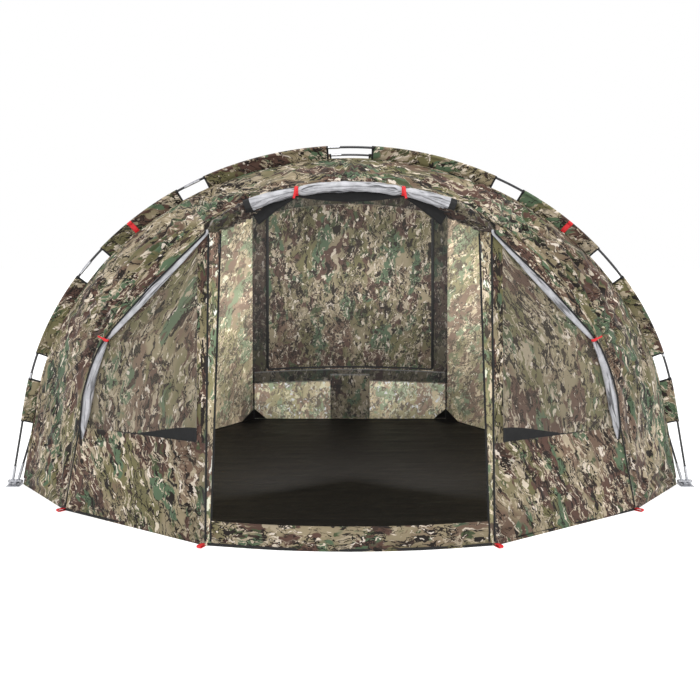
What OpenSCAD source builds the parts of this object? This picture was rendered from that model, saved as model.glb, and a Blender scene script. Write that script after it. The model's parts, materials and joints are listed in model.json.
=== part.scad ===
// Two-arch camping and fishing shelter: a ground-pivoted pair of jointed fibreglass arches
// that carries a panelled canopy with a roll-up door, two mesh windows and a groundsheet.
// Millimetres. +X is to the right of someone who looks in at the door, +Y runs to the back.

/* [Frame] */
// Distance between the two ground pivots, measured at the front arch
hub_span = 3960; // [3400:10:4200]
// Inward tilt of the straight lower leg of an arch, in degrees
leg_tilt = 14; // [10:0.5:18]
// Length of the straight lower leg of an arch
leg_len = 560; // [400:10:700]
// Forward lean of the front arch, in degrees
front_lean = 16.5; // [10:0.5:22]
// Backward lean of the rear arch, in degrees
rear_lean = 8; // [4:0.5:14]
// How much smaller the rear arch is on each side, so that it folds up inside the front one
arch_nest = 32; // [30:1:45]
// Outer diameter of the fibreglass pole
pole_d = 12.5; // [11:0.5:16]
// Bore of the fibreglass pole
pole_bore = 7.5; // [5:0.5:9]
// Length of one pole section between ferrules
section_len = 770; // [700:5:780]
// Distance of the crown ferrule from the middle of the arch
ferrule_shift = 100; // [60:10:120]
// Length of a metal ferrule
ferrule_len = 90; // [60:5:120]

/* [Pivot] */
// Height of the pivot axis over the ground
pivot_z = 22; // [20:1:30]
// Radius of the pivot pin
pin_r = 4; // [3:0.5:5]
// Width of one knuckle on the pivot pin
knuckle_w = 18; // [14:1:20]
// Length of the metal socket at the foot of an arch
socket_len = 105; // [80:5:140]
// Radius of the peg hole in a pivot plate
peg_hole_r = 5.5; // [4:0.5:8]

/* [Canopy] */
// Width of the sleeve web between a pole and the canopy
fin_w = 65; // [50:1:80]
// Thickness of the canopy panels
sheet_t = 3; // [2:0.5:4]
// Half width of the front between its two outer pegs
peg_x = 1515; // [1400:5:1600]
// Distance of the outer front pegs ahead of the pivots
peg_y = 510; // [400:10:600]
// Backward lean of the brow seam, in degrees
brow_lean = 9.9; // [6:0.1:14]
// Straight lower length of the brow seam
brow_leg = 700; // [600:10:800]
// Shoulder radius of the brow seam
brow_r = 1120; // [900:10:1150]
// Angle of the brow seam's crown arc, in degrees
brow_crown = 70; // [40:1:74]

/* [Door] */
// Half width between the outer edges of the door posts at the ground
post_x = 682; // [600:1:740]
// Half width between the outer edges of the door posts at the top
post_top_x = 712; // [640:1:760]
// Width of a door post at the top
post_w = 68; // [50:1:90]
// Width of a door post at the ground
post_foot_w = 30; // [20:1:60]
// Distance of the door posts ahead of the pivots at the ground
post_y = 1080; // [1000:10:1200]
// Distance of the middle of the sill ahead of the pivots
sill_y = 1165; // [1090:5:1250]
// Height of the door sill
sill_h = 112; // [80:1:160]
// Height of the lower side walls of the front
wall_h = 460; // [350:5:500]
// Radius of the rolled-up door
door_roll_r = 27; // [20:1:35]
// Share of the brow seam that the rolled door covers on each side of the crown
roll_t = 0.208; // [0.15:0.001:0.25]

/* [Back] */
// Half width of the back wall at the ground
back_x = 780; // [700:10:900]
// Distance of the back wall behind the pivots at the ground
back_y = 1970; // [1700:10:2100]
// Half width of the back wall at the rear arch
back_top_x = 600; // [500:10:700]
// Height share at which the zipped back panel ends above the ground
panel_low = 0.245; // [0.15:0.005:0.3]
// Height share at which the zipped back panel ends below the arch
panel_high = 0.88; // [0.7:0.01:0.92]
// Width of the border beside the zipped back panel
border_w = 100; // [60:5:140]

/* [Trim] */
// Width of a webbing peg loop
loop_w = 25; // [20:1:30]
// Length that a peg loop stands out of the hem
loop_len = 46; // [35:1:60]
// Width of a zip
zip_w = 9; // [6:1:12]

/* [Hidden] */

$fn = 32;
gap = 2.5;                 // room between neighbouring panels
side_names = ["left", "right"];
side_signs = [-1, 1];
// Centre of the whole shelter, so that it stands centred over the origin
front_reach = sill_y + sheet_t / 2;
back_reach = back_y + loop_len * 0.75;
hub_y = (front_reach - back_reach) / 2;

// ---- arches: a straight leg, a shoulder arc and a crown arc, mirrored over the middle ----
// An outline is [half width, leg tilt, leg length, shoulder radius, crown angle, extra leg].
crown_angle = 30;
function leg_top(a) = [a[0] - a[2] * sin(a[1]), a[2] * cos(a[1])];
function shoulder_centre(a) = leg_top(a) - a[3] * [cos(a[1]), sin(a[1])];
function crown_r(a) = a[3] + shoulder_centre(a)[0] / sin(a[4]);
function crown_z(a) = shoulder_centre(a)[1] - (crown_r(a) - a[3]) * cos(a[4]);
function crown_len(a) = crown_r(a) * a[4] * PI / 180;
function shoulder_len(a) = a[3] * (90 - a[1] - a[4]) * PI / 180;
function half_len(a) = crown_len(a) + shoulder_len(a) + a[2] + a[5];
function half_point(d, a) =
    d < crown_len(a)
    ? let (q = d / crown_r(a) * 180 / PI) [crown_r(a) * sin(q), crown_z(a) + crown_r(a) * cos(q)]
    : d < crown_len(a) + shoulder_len(a)
    ? let (q = a[4] + (d - crown_len(a)) / a[3] * 180 / PI)
      shoulder_centre(a) + a[3] * [sin(q), cos(q)]
    : leg_top(a) + (d - crown_len(a) - shoulder_len(a)) * [sin(a[1]), -cos(a[1])];
function arch_point(t, a) =
    let (p = half_point(abs(t) * half_len(a), a)) [t < 0 ? -p[0] : p[0], p[1]];

// A round arch whose shoulder and crown share one centre, moved inwards by inset
function round_r(half_w) = (half_w - leg_len * sin(leg_tilt)) / cos(leg_tilt);
function round_arch(half_w, inset, extra) = [
    half_w - inset / cos(leg_tilt), leg_tilt, leg_len - inset * tan(leg_tilt),
    round_r(half_w) - inset, crown_angle, extra
];
front_w = hub_span / 2;
rear_w = front_w - arch_nest;
front_arch = round_arch(front_w, 0, 0);
rear_arch = round_arch(rear_w, 0, 0);
front_ridge = round_arch(front_w, fin_w, pivot_z / cos(leg_tilt));
rear_ridge = round_arch(rear_w, fin_w, pivot_z / cos(leg_tilt));
brow_seam = [peg_x, 12.5, brow_leg, brow_r, brow_crown, 0];

// Places a point of an outline on a plane that leans forward from a line along X
function lean(p, angle, y, z) = [p[0], y - p[1] * sin(angle), z + p[1] * cos(angle)];
function front_ridge_at(t) = lean(arch_point(t, front_ridge), front_lean, 0, pivot_z);
function rear_ridge_at(t) = lean(arch_point(t, rear_ridge), -rear_lean, 0, pivot_z);
function brow_at(t) = lean(arch_point(t, brow_seam), brow_lean, -peg_y, 0);

// ---- thin closed panels from a grid of points ----
function mix(a, b, f) = a + (b - a) * f;
function unit(v) = norm(v) > 0.001 ? v / norm(v) : [0, 0, 1];
function clamp(i, n) = max(0, min(n - 1, i));
function grid_normal(g, i, j) =
    let (n = len(g), m = len(g[0]),
         along = g[clamp(i + 1, n)][j] - g[clamp(i - 1, n)][j],
         across = g[i][clamp(j + 1, m)] - g[i][clamp(j - 1, m)])
    unit(cross(along, across));
function ruled(a, b, cols) = [
    for (i = [0:len(a) - 1]) [for (j = [0:cols]) mix(a[i], b[i], j / cols)]
];
// Evenly spread numbers from lo to hi
function steps(lo, hi, n) = [for (i = [0:n]) mix(lo, hi, i / n)];

module sheet(g, t) {
    n = len(g);
    m = len(g[0]);
    count = n * m;
    upper = [for (i = [0:n - 1]) for (j = [0:m - 1]) g[i][j] + grid_normal(g, i, j) * t / 2];
    lower = [for (i = [0:n - 1]) for (j = [0:m - 1]) g[i][j] - grid_normal(g, i, j) * t / 2];
    rim = concat(
        [for (j = [0:m - 1]) j],
        [for (i = [1:n - 1]) i * m + m - 1],
        [for (j = [m - 2:-1:0]) (n - 1) * m + j],
        [for (i = [n - 2:-1:1]) i * m]
    );
    cells = [for (i = [0:n - 2]) for (j = [0:m - 2]) i * m + j];
    faces = concat(
        [for (c = cells) [c, c + m, c + 1]],
        [for (c = cells) [c + 1, c + m, c + m + 1]],
        [for (c = cells) [count + c, count + c + 1, count + c + m]],
        [for (c = cells) [count + c + 1, count + c + m + 1, count + c + m]],
        [for (k = [0:len(rim) - 1]) let (a = rim[k], b = rim[(k + 1) % len(rim)]) [a, b, count + b]],
        [for (k = [0:len(rim) - 1]) let (a = rim[k], b = rim[(k + 1) % len(rim)]) [a, count + b, count + a]]
    );
    polyhedron(concat(upper, lower), faces);
}

// A tube along a path of points, with a radius for each point
module sweep(path, radii, sides) {
    n = len(path);
    rings = [
        for (i = [0:n - 1])
            let (along = unit(path[clamp(i + 1, n)] - path[clamp(i - 1, n)]),
                 side = unit(cross(along, [0, 1, 0.2])),
                 up = cross(side, along))
            for (k = [0:sides - 1])
                path[i] + radii[i] * (side * cos(k * 360 / sides) + up * sin(k * 360 / sides))
    ];
    walls = [
        for (i = [0:n - 2]) for (k = [0:sides - 1])
            let (a = i * sides + k, b = i * sides + (k + 1) % sides)
            each [[a, b, a + sides], [b, b + sides, a + sides]]
    ];
    caps = concat(
        [for (k = [1:sides - 2]) [0, k + 1, k]],
        [for (k = [1:sides - 2]) (n - 1) * sides * [1, 1, 1] + [0, k, k + 1]]
    );
    polyhedron(rings, concat(walls, caps));
}

module centred() translate([0, hub_y, 0]) children();

// ---- frame ----
// Puts an arch drawn in the XZ plane onto its lean, over the pivot axis
module on_arch(angle) centred() translate([0, 0, pivot_z]) rotate([angle, 0, 0]) children();

// A stretch of an arch from arc length d0 to d1, both counted from the crown, with a 2D section
module arch_stretch(d0, d1, half_w) {
    r = round_r(half_w);
    arc = arc_len(half_w);
    a0 = max(d0, -arc);
    a1 = min(d1, arc);
    centre = shoulder_centre(round_arch(half_w, 0, 0))[1];
    if (a1 > a0)
        translate([0, 0, centre])
            rotate([90, 0, 0])
                rotate([0, 0, 90 - a1 / r * 180 / PI])
                    rotate_extrude(angle = (a1 - a0) / r * 180 / PI, $fn = 360)
                        translate([r, 0])
                            children();
    for (s = side_signs)
        if (s * (s < 0 ? d0 : d1) > arc)
            let (low = max(0, half_len(round_arch(half_w, 0, 0)) - s * (s < 0 ? d0 : d1)),
                 high = half_len(round_arch(half_w, 0, 0)) - max(arc + 0.2, s * (s < 0 ? d1 : d0)))
            translate([s * half_w, 0, 0])
                rotate([0, -s * leg_tilt, 0])
                    translate([0, 0, low])
                        linear_extrude(high - low)
                            rotate(s < 0 ? 180 : 0)
                                children();
}

pole_end = socket_len * 0.25;   // how far over the pivot a pole ends inside its socket
function section_starts(half_w) = [
    for (k = [0:8])
        k == 0 ? pole_end - half_len(round_arch(half_w, 0, 0))
        : k == 8 ? half_len(round_arch(half_w, 0, 0)) - pole_end
        : (k - 4) * section_len - ferrule_shift
];

// A thin ring that binds the pole where its straight leg runs into the round part
module binding(s, half_w) {
    translate([s * half_w, 0, 0])
        rotate([0, -s * leg_tilt, 0])
            translate([0, 0, leg_len - 6])
                difference() {
                    cylinder(d = pole_d + 1.4, h = 12);
                    translate([0, 0, -1])
                        cylinder(d = (pole_d + pole_bore) / 2, h = 14);
                }
}

module pole_section(k, half_w, angle) {
    starts = section_starts(half_w);
    arc = arc_len(half_w);
    color("#2a2a2c")
        on_arch(angle) {
            arch_stretch(starts[k - 1] + 0.2, starts[k] - 0.2, half_w)
                difference() {
                    circle(d = pole_d);
                    circle(d = pole_bore);
                }
            for (s = side_signs)
                if (starts[k - 1] < s * arc && s * arc < starts[k])
                    binding(s, half_w);
        }
}

module ferrules(half_w, angle) {
    starts = section_starts(half_w);
    color("silver")
        on_arch(angle)
            for (k = [1:7])
                arch_stretch(starts[k] - ferrule_len / 2, starts[k] + ferrule_len / 2, half_w)
                    difference() {
                        circle(d = pole_d + 3);
                        circle(d = pole_d + 0.2);
                    }
}

// The elastic cord inside an arch, drawn as its crown and its two legs
module shock_cord(half_w, angle) {
    reach = half_len(round_arch(half_w, 0, 0)) - pole_end - 2;
    arc = arc_len(half_w);
    color("black")
        on_arch(angle)
            for (d = [[-reach, -arc - 0.1], [-arc + 0.1, arc - 0.1], [arc + 0.1, reach]])
                arch_stretch(d[0], d[1], half_w)
                    circle(d = 4);
}

// Fabric sleeve and its web, left out at the openings that let the poles be gripped.
// Each stretch runs between two arc lengths from the crown; the last two meet at the leg's top.
function arc_len(half_w) = round_r(half_w) * (90 - leg_tilt) * PI / 180;
function sleeve_stretches(half_w) = [
    [115, 800], [960, 1500], [1710, 2240],
    [2400, arc_len(half_w) - 2], [arc_len(half_w) + 2, arc_len(half_w) + 160]
];
module sleeves(half_w, angle) {
    color("#6b6a4f")
        on_arch(angle)
            for (s = side_signs)
                for (d = sleeve_stretches(half_w))
                    arch_stretch(s < 0 ? -d[1] : d[0], s < 0 ? -d[0] : d[1], half_w)
                        difference() {
                            union() {
                                circle(d = pole_d + 7);
                                translate([-fin_w + 6, -1.25])
                                    square([fin_w - 6, 2.5]);
                            }
                            circle(d = pole_d + 4);
                        }
}

module sockets(half_w, angle) {
    color("silver")
        on_arch(angle)
            for (s = side_signs)
                translate([s * half_w, 0, 0])
                    difference() {
                        union() {
                            rotate([0, 90, 0])
                                cylinder(r = 12, h = knuckle_w, center = true);
                            rotate([0, -s * leg_tilt, 0])
                                translate([0, 0, 4])
                                    cylinder(r = 6, h = 20);
                            rotate([0, -s * leg_tilt, 0])
                                translate([0, 0, 18])
                                    cylinder(d = pole_d + 4, h = socket_len - 18);
                        }
                        rotate([0, 90, 0])
                            cylinder(r = pin_r + 0.05, h = 60, center = true);
                        rotate([0, -s * leg_tilt, 0])
                            translate([0, 0, pole_end - 0.3])
                                cylinder(d = pole_d + 0.2, h = socket_len);
                    }
}

ear_t = (arch_nest - knuckle_w) - 1.2;
ear_middle = front_w - arch_nest / 2;
plate_w = 3 * ear_t + 2 * knuckle_w + 2.4;
plate_front = 54;
plate_back = 26;
peg_eye_out = 22;           // the eye stands outside the leaning pole, clear of it from above
module hub(s) {
    color("silver")
        centred()
            translate([s * ear_middle, 0, 0])
                difference() {
                    union() {
                        translate([-plate_w / 2, -plate_front, 0])
                            cube([plate_w, plate_front + plate_back, 5]);
                        for (x = [-arch_nest, 0, arch_nest])
                            translate([x - ear_t / 2, 0, 0]) {
                                translate([0, -10, 0])
                                    cube([ear_t, 20, pivot_z]);
                                translate([0, 0, pivot_z])
                                    rotate([0, 90, 0])
                                        cylinder(r = 10, h = ear_t);
                            }
                    }
                    translate([-plate_w, 0, pivot_z])
                        rotate([0, 90, 0])
                            cylinder(r = pin_r + 0.05, h = 2 * plate_w);
                    translate([s * peg_eye_out, -plate_front + 16, -1])
                        cylinder(r = peg_hole_r, h = 7);
                }
}

module hub_pins() {
    color("dimgray")
        centred()
            for (s = side_signs)
                translate([s * ear_middle, 0, pivot_z])
                    rotate([0, 90, 0]) {
                        translate([0, 0, -plate_w / 2 - 1])
                            cylinder(r = pin_r, h = plate_w + 2);
                        for (e = side_signs)
                            translate([0, 0, e * (plate_w / 2 + 2.2) - 1.5])
                                cylinder(r = 7, h = 3);
                    }
}

// ---- canopy ----
module roof() {
    ts = steps(-0.955, 0.955, 30);
    color("#8a8462")
        centred()
            sheet(ruled([for (t = ts) mix(front_ridge_at(t), rear_ridge_at(t), 0.01)],
                        [for (t = ts) mix(front_ridge_at(t), rear_ridge_at(t), 0.99)], 2), sheet_t);
}

door_t = 0.30;             // share of the brow seam on each side of the crown that is over the door
module brow(t0, t1, n) {
    ts = steps(t0, t1, n);
    color("#8a8462")
        centred()
            sheet(ruled([for (t = ts) mix(brow_at(t), front_ridge_at(t), 0.02)],
                        [for (t = ts) mix(brow_at(t), front_ridge_at(t), 0.98)], 2), sheet_t);
}

// Front post lines: outer and inner edge as functions of height
post_top = brow_at(door_t)[2] - 25;
function post_depth(z) = -mix(post_y, -brow_at(door_t)[1] + 12, z / post_top);
function post_outer(z) = [mix(post_x, post_top_x, z / post_top), post_depth(z), z];
function post_inner(z) =
    [mix(post_x - post_foot_w, post_top_x - post_w, z / post_top), post_depth(z), z];
// Share t of the brow seam at a height, found by halving
function brow_share(z, lo = 0, hi = 1, n = 14) =
    n == 0 ? (lo + hi) / 2
    : let (m = (lo + hi) / 2) brow_at(m)[2] > z ? brow_share(z, m, hi, n - 1) : brow_share(z, lo, m, n - 1);
function flip(p, s) = [s * p[0], p[1], p[2]];

module front_side(s, z0, z1, n) {
    zs = steps(z0, z1, n);
    centred()
        sheet(ruled([for (z = zs) flip(mix(post_outer(z), brow_at(brow_share(z)), 0.012), s)],
                    [for (z = zs) flip(mix(post_outer(z), brow_at(brow_share(z)), 0.985), s)], 3), sheet_t);
}

module post(s) {
    zs = steps(2, post_top, 6);
    color("#7c7656")
        centred()
            sheet(ruled([for (z = zs) flip(post_inner(z), s)],
                        [for (z = zs) flip(mix(post_inner(z), post_outer(z), 0.95), s)], 1), sheet_t);
}

// The sill bows forward between the posts
function sill_point(f, z) =
    let (x = post_inner(z)[0] - gap) [x * f, -mix(sill_y, post_y, f * f) + z * 0.12, z];
module sill() {
    fs = steps(-1, 1, 12);
    color("#7c7656")
        centred()
            sheet(ruled([for (f = fs) sill_point(f, 0)], [for (f = fs) sill_point(f, sill_h)], 1), sheet_t);
}

module header() {
    ts = steps(-door_t + 0.012, door_t - 0.012, 14);
    color("#7c7656")
        centred()
            sheet(ruled([for (t = ts) brow_at(t) + [0, 0, -3]],
                        [for (t = ts) brow_at(t) + [0, -4, -26]], 1), sheet_t);
}

// Back wall: f runs over its width from -1 to 1, h over its height from ground to ridge
function ridge_share(x, lo = 0, hi = 1, n = 14) =
    n == 0 ? (lo + hi) / 2
    : let (m = (lo + hi) / 2) rear_ridge_at(m)[0] < x ? ridge_share(x, m, hi, n - 1) : ridge_share(x, lo, m, n - 1);
back_t = ridge_share(back_top_x);
function back_at(f, h) = mix([back_x * f, back_y, 0], rear_ridge_at(back_t * f), h);
module back_piece(f0, f1, h0, h1, cols) {
    fs = steps(f0, f1, cols);
    color("#8a8462")
        centred()
            sheet(ruled([for (f = fs) back_at(f, h0)], [for (f = fs) back_at(f, h1)], 2), sheet_t);
}
panel_f = 1 - border_w / ((back_x + back_top_x) / 2);

module back_side(s) {
    ts = steps(back_t + 0.005, 0.97, 16);
    color("#8a8462")
        centred()
            sheet(ruled([for (t = ts) flip(mix(mix([back_x, back_y, 0], rear_ridge_at(1), (t - back_t) / (1 - back_t)),
                                               rear_ridge_at(t), 0.002), s)],
                        [for (t = ts) flip(mix(mix([back_x, back_y, 0], rear_ridge_at(1), (t - back_t) / (1 - back_t)),
                                               rear_ridge_at(t), 0.99), s)], 3), sheet_t);
}

floor_inset = 14;
module groundsheet() {
    corner_x = rear_ridge_at(1)[0] - 2 * floor_inset;
    half = [[post_x - floor_inset, -post_y + floor_inset], [peg_x - floor_inset, -peg_y + floor_inset],
            [corner_x, 0], [back_x - floor_inset, back_y - floor_inset]];
    color("#241f1b")
        centred()
            linear_extrude(sheet_t)
                polygon(concat([[0, -sill_y + floor_inset]], half,
                               [for (i = [3:-1:0]) [-half[i][0], half[i][1]]]));
}

// ---- door, windows and trim ----
roll_at = [0, -41, -22];   // the rolled door's middle, from the brow seam
module door_roll() {
    ts = steps(-roll_t, roll_t, 16);
    color("#bcbcc0")
        centred()
            sweep([for (t = ts) brow_at(t) + roll_at], [for (t = ts) door_roll_r], 10);
}

module door_mesh_roll() {
    ts = steps(-door_t * 0.78, door_t * 0.78, 14);
    color("#151515")
        centred()
            sweep([for (t = ts) brow_at(t) + [0, 16, -52]],
                  [for (t = ts) 22], 8);
}

// A tie rings a roll of radius r at p, whose middle runs on through q
module tie(p, q, r, w, room) {
    d = unit(q - p);
    translate(p)
        rotate([0, acos(d[2]), atan2(d[1], d[0])])
            difference() {
                cylinder(r = r + room + 2.5, h = w, center = true);
                cylinder(r = r + room, h = w + 4, center = true);
            }
}

tie_t = 0.104;
module door_ties() {
    color("#d91f26")
        centred()
            for (t = [-tie_t, tie_t])
                tie(brow_at(t) + roll_at, brow_at(t + 0.005) + roll_at, door_roll_r, 20, 1.6);
}

// A rolled window cover lies straight from the post's top to its tie, then down beside the brow seam
window_tie_t = 0.62;
tie_z = brow_at(window_tie_t)[2];
cover_top = post_top - 40;
cover_foot = 400;
function cover_x(z) =
    z > tie_z ? mix(brow_at(window_tie_t)[0] - 34, post_outer(cover_top)[0] + 14, (z - tie_z) / (cover_top - tie_z))
              : brow_at(brow_share(z))[0] - 34;
function cover_r(z) = lookup(z, [[cover_foot, 5], [cover_foot + 70, 17], [mix(cover_foot, tie_z, 0.45), 24], [tie_z - 40, 16],
                                 [tie_z, 11], [tie_z + 40, 15], [mix(tie_z, cover_top, 0.5), 20], [cover_top, 8]]);
function cover_at(z) =
    let (p = post_outer(z), b = brow_at(brow_share(z)))
        mix(p, b, (cover_x(z) - p[0]) / (b[0] - p[0])) + unit([b[1] - p[1], p[0] - b[0], 0]) * (cover_r(z) + 12);
module window_roll(s) {
    zs = concat(steps(cover_foot, tie_z, 7), [for (z = steps(tie_z, cover_top, 7)) if (z > tie_z) z]);
    color("#bcbcc0")
        centred()
            sweep([for (z = zs) flip(cover_at(z), s)], [for (z = zs) cover_r(z)], 8);
}

module window_ties() {
    color("#d91f26")
        centred()
            for (s = side_signs)
                let (way = flip(cover_at(tie_z - 30) - cover_at(tie_z + 30), s))
                    tie(flip(cover_at(tie_z), s), flip(cover_at(tie_z), s) + way, cover_r(tie_z), 14, 4.5);
}

// A zip lies on the outside of the panel edge that it closes
zip_out = sheet_t / 2 + 1.4;
module zip_strip(p, q, out) {
    side = unit(cross(q - p, out)) * zip_w / 2;
    sheet([[p - side + out, p + side + out], [q - side + out, q + side + out]], 2);
}
zip_low = 20;
zip_high = post_top - 60;
module zip_tapes() {
    color("#101010")
        centred()
            for (s = side_signs) {
                zip_strip(flip(post_inner(zip_low) + [7, 0, 0], s), flip(post_inner(zip_high) + [7, 0, 0], s),
                          [0, -zip_out, 0]);
                zip_strip(flip(post_outer(zip_low) - [9, 0, 0], s), flip(post_outer(zip_high) - [9, 0, 0], s),
                          [0, -zip_out, 0]);
            }
}

// The back panel's zip runs down both sides and along the bottom, on the inside
back_in = unit(cross(back_at(1, 0.2) - back_at(-1, 0.2), back_at(0, 0.8) - back_at(0, 0.2))) * -5.5;
panel_edge = panel_f - 0.012;
module back_zip() {
    low = panel_low + 0.012;
    fs = steps(-panel_edge + 0.02, panel_edge - 0.02, 10);
    color("#101010")
        centred() {
            for (s = side_signs)
                zip_strip(back_at(s * panel_edge, low + 0.012), back_at(s * panel_edge, panel_high - 0.02), back_in);
            sheet([[for (f = fs) back_at(f, low - 0.002) + back_in], [for (f = fs) back_at(f, low + 0.002) + back_in]], 2);
        }
}

module slider(p, q, out) {
    d = unit(q - p);
    translate(p + out)
        rotate([0, acos(d[2]), atan2(d[1], d[0])])
            translate([-6, -3, 0])
                cube([12, 6, 28]);
}
module door_slider(s) {
    color("dimgray")
        centred()
            slider(flip(post_inner(zip_high - 50) + [7, 0, 0], s), flip(post_inner(zip_high) + [7, 0, 0], s),
                   [0, -zip_out - 8, 0]);
}
module back_slider(s) {
    low = panel_low + 0.04;
    color("dimgray")
        centred()
            slider(back_at(s * panel_edge, low), back_at(s * panel_edge, low + 0.02), back_in * 2.4);
}

module peg_loop(p, angle) {
    translate([p[0], p[1], 0])
        rotate([0, 0, angle])
            linear_extrude(3)
                difference() {
                    union() {
                        translate([0, -loop_w / 2])
                            square([loop_len - loop_w / 2, loop_w]);
                        translate([loop_len - loop_w / 2, 0])
                            circle(d = loop_w);
                    }
                    translate([loop_len - loop_w / 2, 0])
                        circle(d = 13);
                }
}
module peg_loops() {
    color("#d91f26")
        centred()
            for (s = side_signs) {
                peg_loop([s * (post_x + 6), -post_y - 6], 270 + s * 25);
                peg_loop([s * (peg_x + 4), -peg_y - 4], 270 + s * 45);
                peg_loop([s * (back_x + 4), back_y + 4], 90 - s * 45);
            }
}

hub(-1);  // hub_left
hub(1);  // hub_right
hub_pins();
sockets(front_w, front_lean);  // front_sockets
sockets(rear_w, -rear_lean);  // rear_sockets
for (k = [1:8])
    pole_section(k, front_w, front_lean);
for (k = [1:8])
    pole_section(k, rear_w, -rear_lean);
ferrules(front_w, front_lean);  // front_ferrules
ferrules(rear_w, -rear_lean);  // rear_ferrules
shock_cord(front_w, front_lean);  // front_shock_cord
shock_cord(rear_w, -rear_lean);  // rear_shock_cord
sleeves(front_w, front_lean);  // front_sleeves
sleeves(rear_w, -rear_lean);  // rear_sleeves
roof();
brow(-door_t + 0.002, door_t - 0.002, 12);  // hood
brow(-1, -door_t - 0.002, 16);  // wing_left
brow(door_t + 0.002, 1, 16);  // wing_right
for (i = [0:1]) {
    color("#7c7656") front_side(side_signs[i], 0, wall_h, 3);
    color("#8e8a78") front_side(side_signs[i], wall_h + gap, post_top - 15, 12);
    post(side_signs[i]);
    back_piece(side_signs[i] * (panel_f + 0.004), side_signs[i] * 0.99, panel_low, panel_high, 1);
    back_side(side_signs[i]);
    window_roll(side_signs[i]);
    door_slider(side_signs[i]);
    back_slider(side_signs[i]);
}
sill();
header();
back_piece(-0.99, 0.99, panel_high + 0.004, 0.99, 8);  // back_top
back_piece(-panel_f, panel_f, panel_low + 0.002, panel_high - 0.002, 6);  // back_panel
back_piece(-0.99, 0.99, 0, panel_low - 0.004, 6);  // back_lower
groundsheet();
door_roll();
door_mesh_roll();
door_ties();
window_ties();
zip_tapes();
back_zip();
peg_loops();
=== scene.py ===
"""Looks of the two-arch camouflage shelter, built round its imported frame. Metres, +Y to the back."""
import json
import math

import bmesh
import bpy
import numpy as np
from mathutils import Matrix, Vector, noise


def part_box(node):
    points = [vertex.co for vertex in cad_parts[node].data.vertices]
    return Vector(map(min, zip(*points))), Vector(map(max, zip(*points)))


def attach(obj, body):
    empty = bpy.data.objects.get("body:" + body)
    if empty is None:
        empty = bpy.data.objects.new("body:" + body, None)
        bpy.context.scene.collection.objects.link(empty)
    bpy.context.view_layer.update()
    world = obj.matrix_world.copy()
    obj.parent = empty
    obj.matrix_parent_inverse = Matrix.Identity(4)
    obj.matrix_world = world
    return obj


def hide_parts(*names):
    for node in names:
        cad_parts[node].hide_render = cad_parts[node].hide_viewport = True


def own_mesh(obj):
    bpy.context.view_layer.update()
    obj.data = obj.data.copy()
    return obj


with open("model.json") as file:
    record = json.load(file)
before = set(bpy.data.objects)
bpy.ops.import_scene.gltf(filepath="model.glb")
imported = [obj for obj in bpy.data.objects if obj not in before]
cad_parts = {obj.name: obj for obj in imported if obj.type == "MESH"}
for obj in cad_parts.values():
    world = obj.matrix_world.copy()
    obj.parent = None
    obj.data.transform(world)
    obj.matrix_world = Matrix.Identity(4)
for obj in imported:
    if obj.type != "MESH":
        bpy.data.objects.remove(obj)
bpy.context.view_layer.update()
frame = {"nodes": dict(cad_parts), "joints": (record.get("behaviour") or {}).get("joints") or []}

# ---------------------------------------------------------------- driving dimensions
FOLD = next(j for j in frame["joints"] if j["name"] == "front_fold")
HUB_Y, PIVOT_Z = FOLD["pos_m"][1], FOLD["pos_m"][2]
SHELTER, FRONT, REAR = "shelter", "front_arch", "rear_arch"

HALF_SPAN = 1.980          # from the middle to the front arch's pivot
ARCH_NEST = 0.032          # how much smaller the rear arch is on each side
LEG_TILT, LEG_LEN = 14.0, 0.560
FRONT_LEAN, REAR_LEAN = 16.5, -8.0
SLEEVE_W = 0.065           # from a pole's middle to the canopy's ridge seam
PEG_X, PEG_Y = 1.515, 0.510
BROW_LEAN, BROW_TILT, BROW_LEG, BROW_R, BROW_CROWN = 9.9, 12.5, 0.700, 1.120, 70.0
POST_X, POST_TOP_X, POST_W, POST_FOOT_W = 0.682, 0.712, 0.068, 0.030
POST_Y, SILL_Y, SILL_H, WALL_H = 1.080, 1.165, 0.112, 0.460
BACK_X, BACK_Y, BACK_TOP_X = 0.780, 1.970, 0.600
PANEL_LOW, PANEL_HIGH, BORDER_W = 0.245, 0.88, 0.100
DOOR_T, ROLL_T, TIE_T, WINDOW_TIE_T = 0.30, 0.208, 0.104, 0.62
SHEET = 0.0022             # thickness of the cloth as shown


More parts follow.
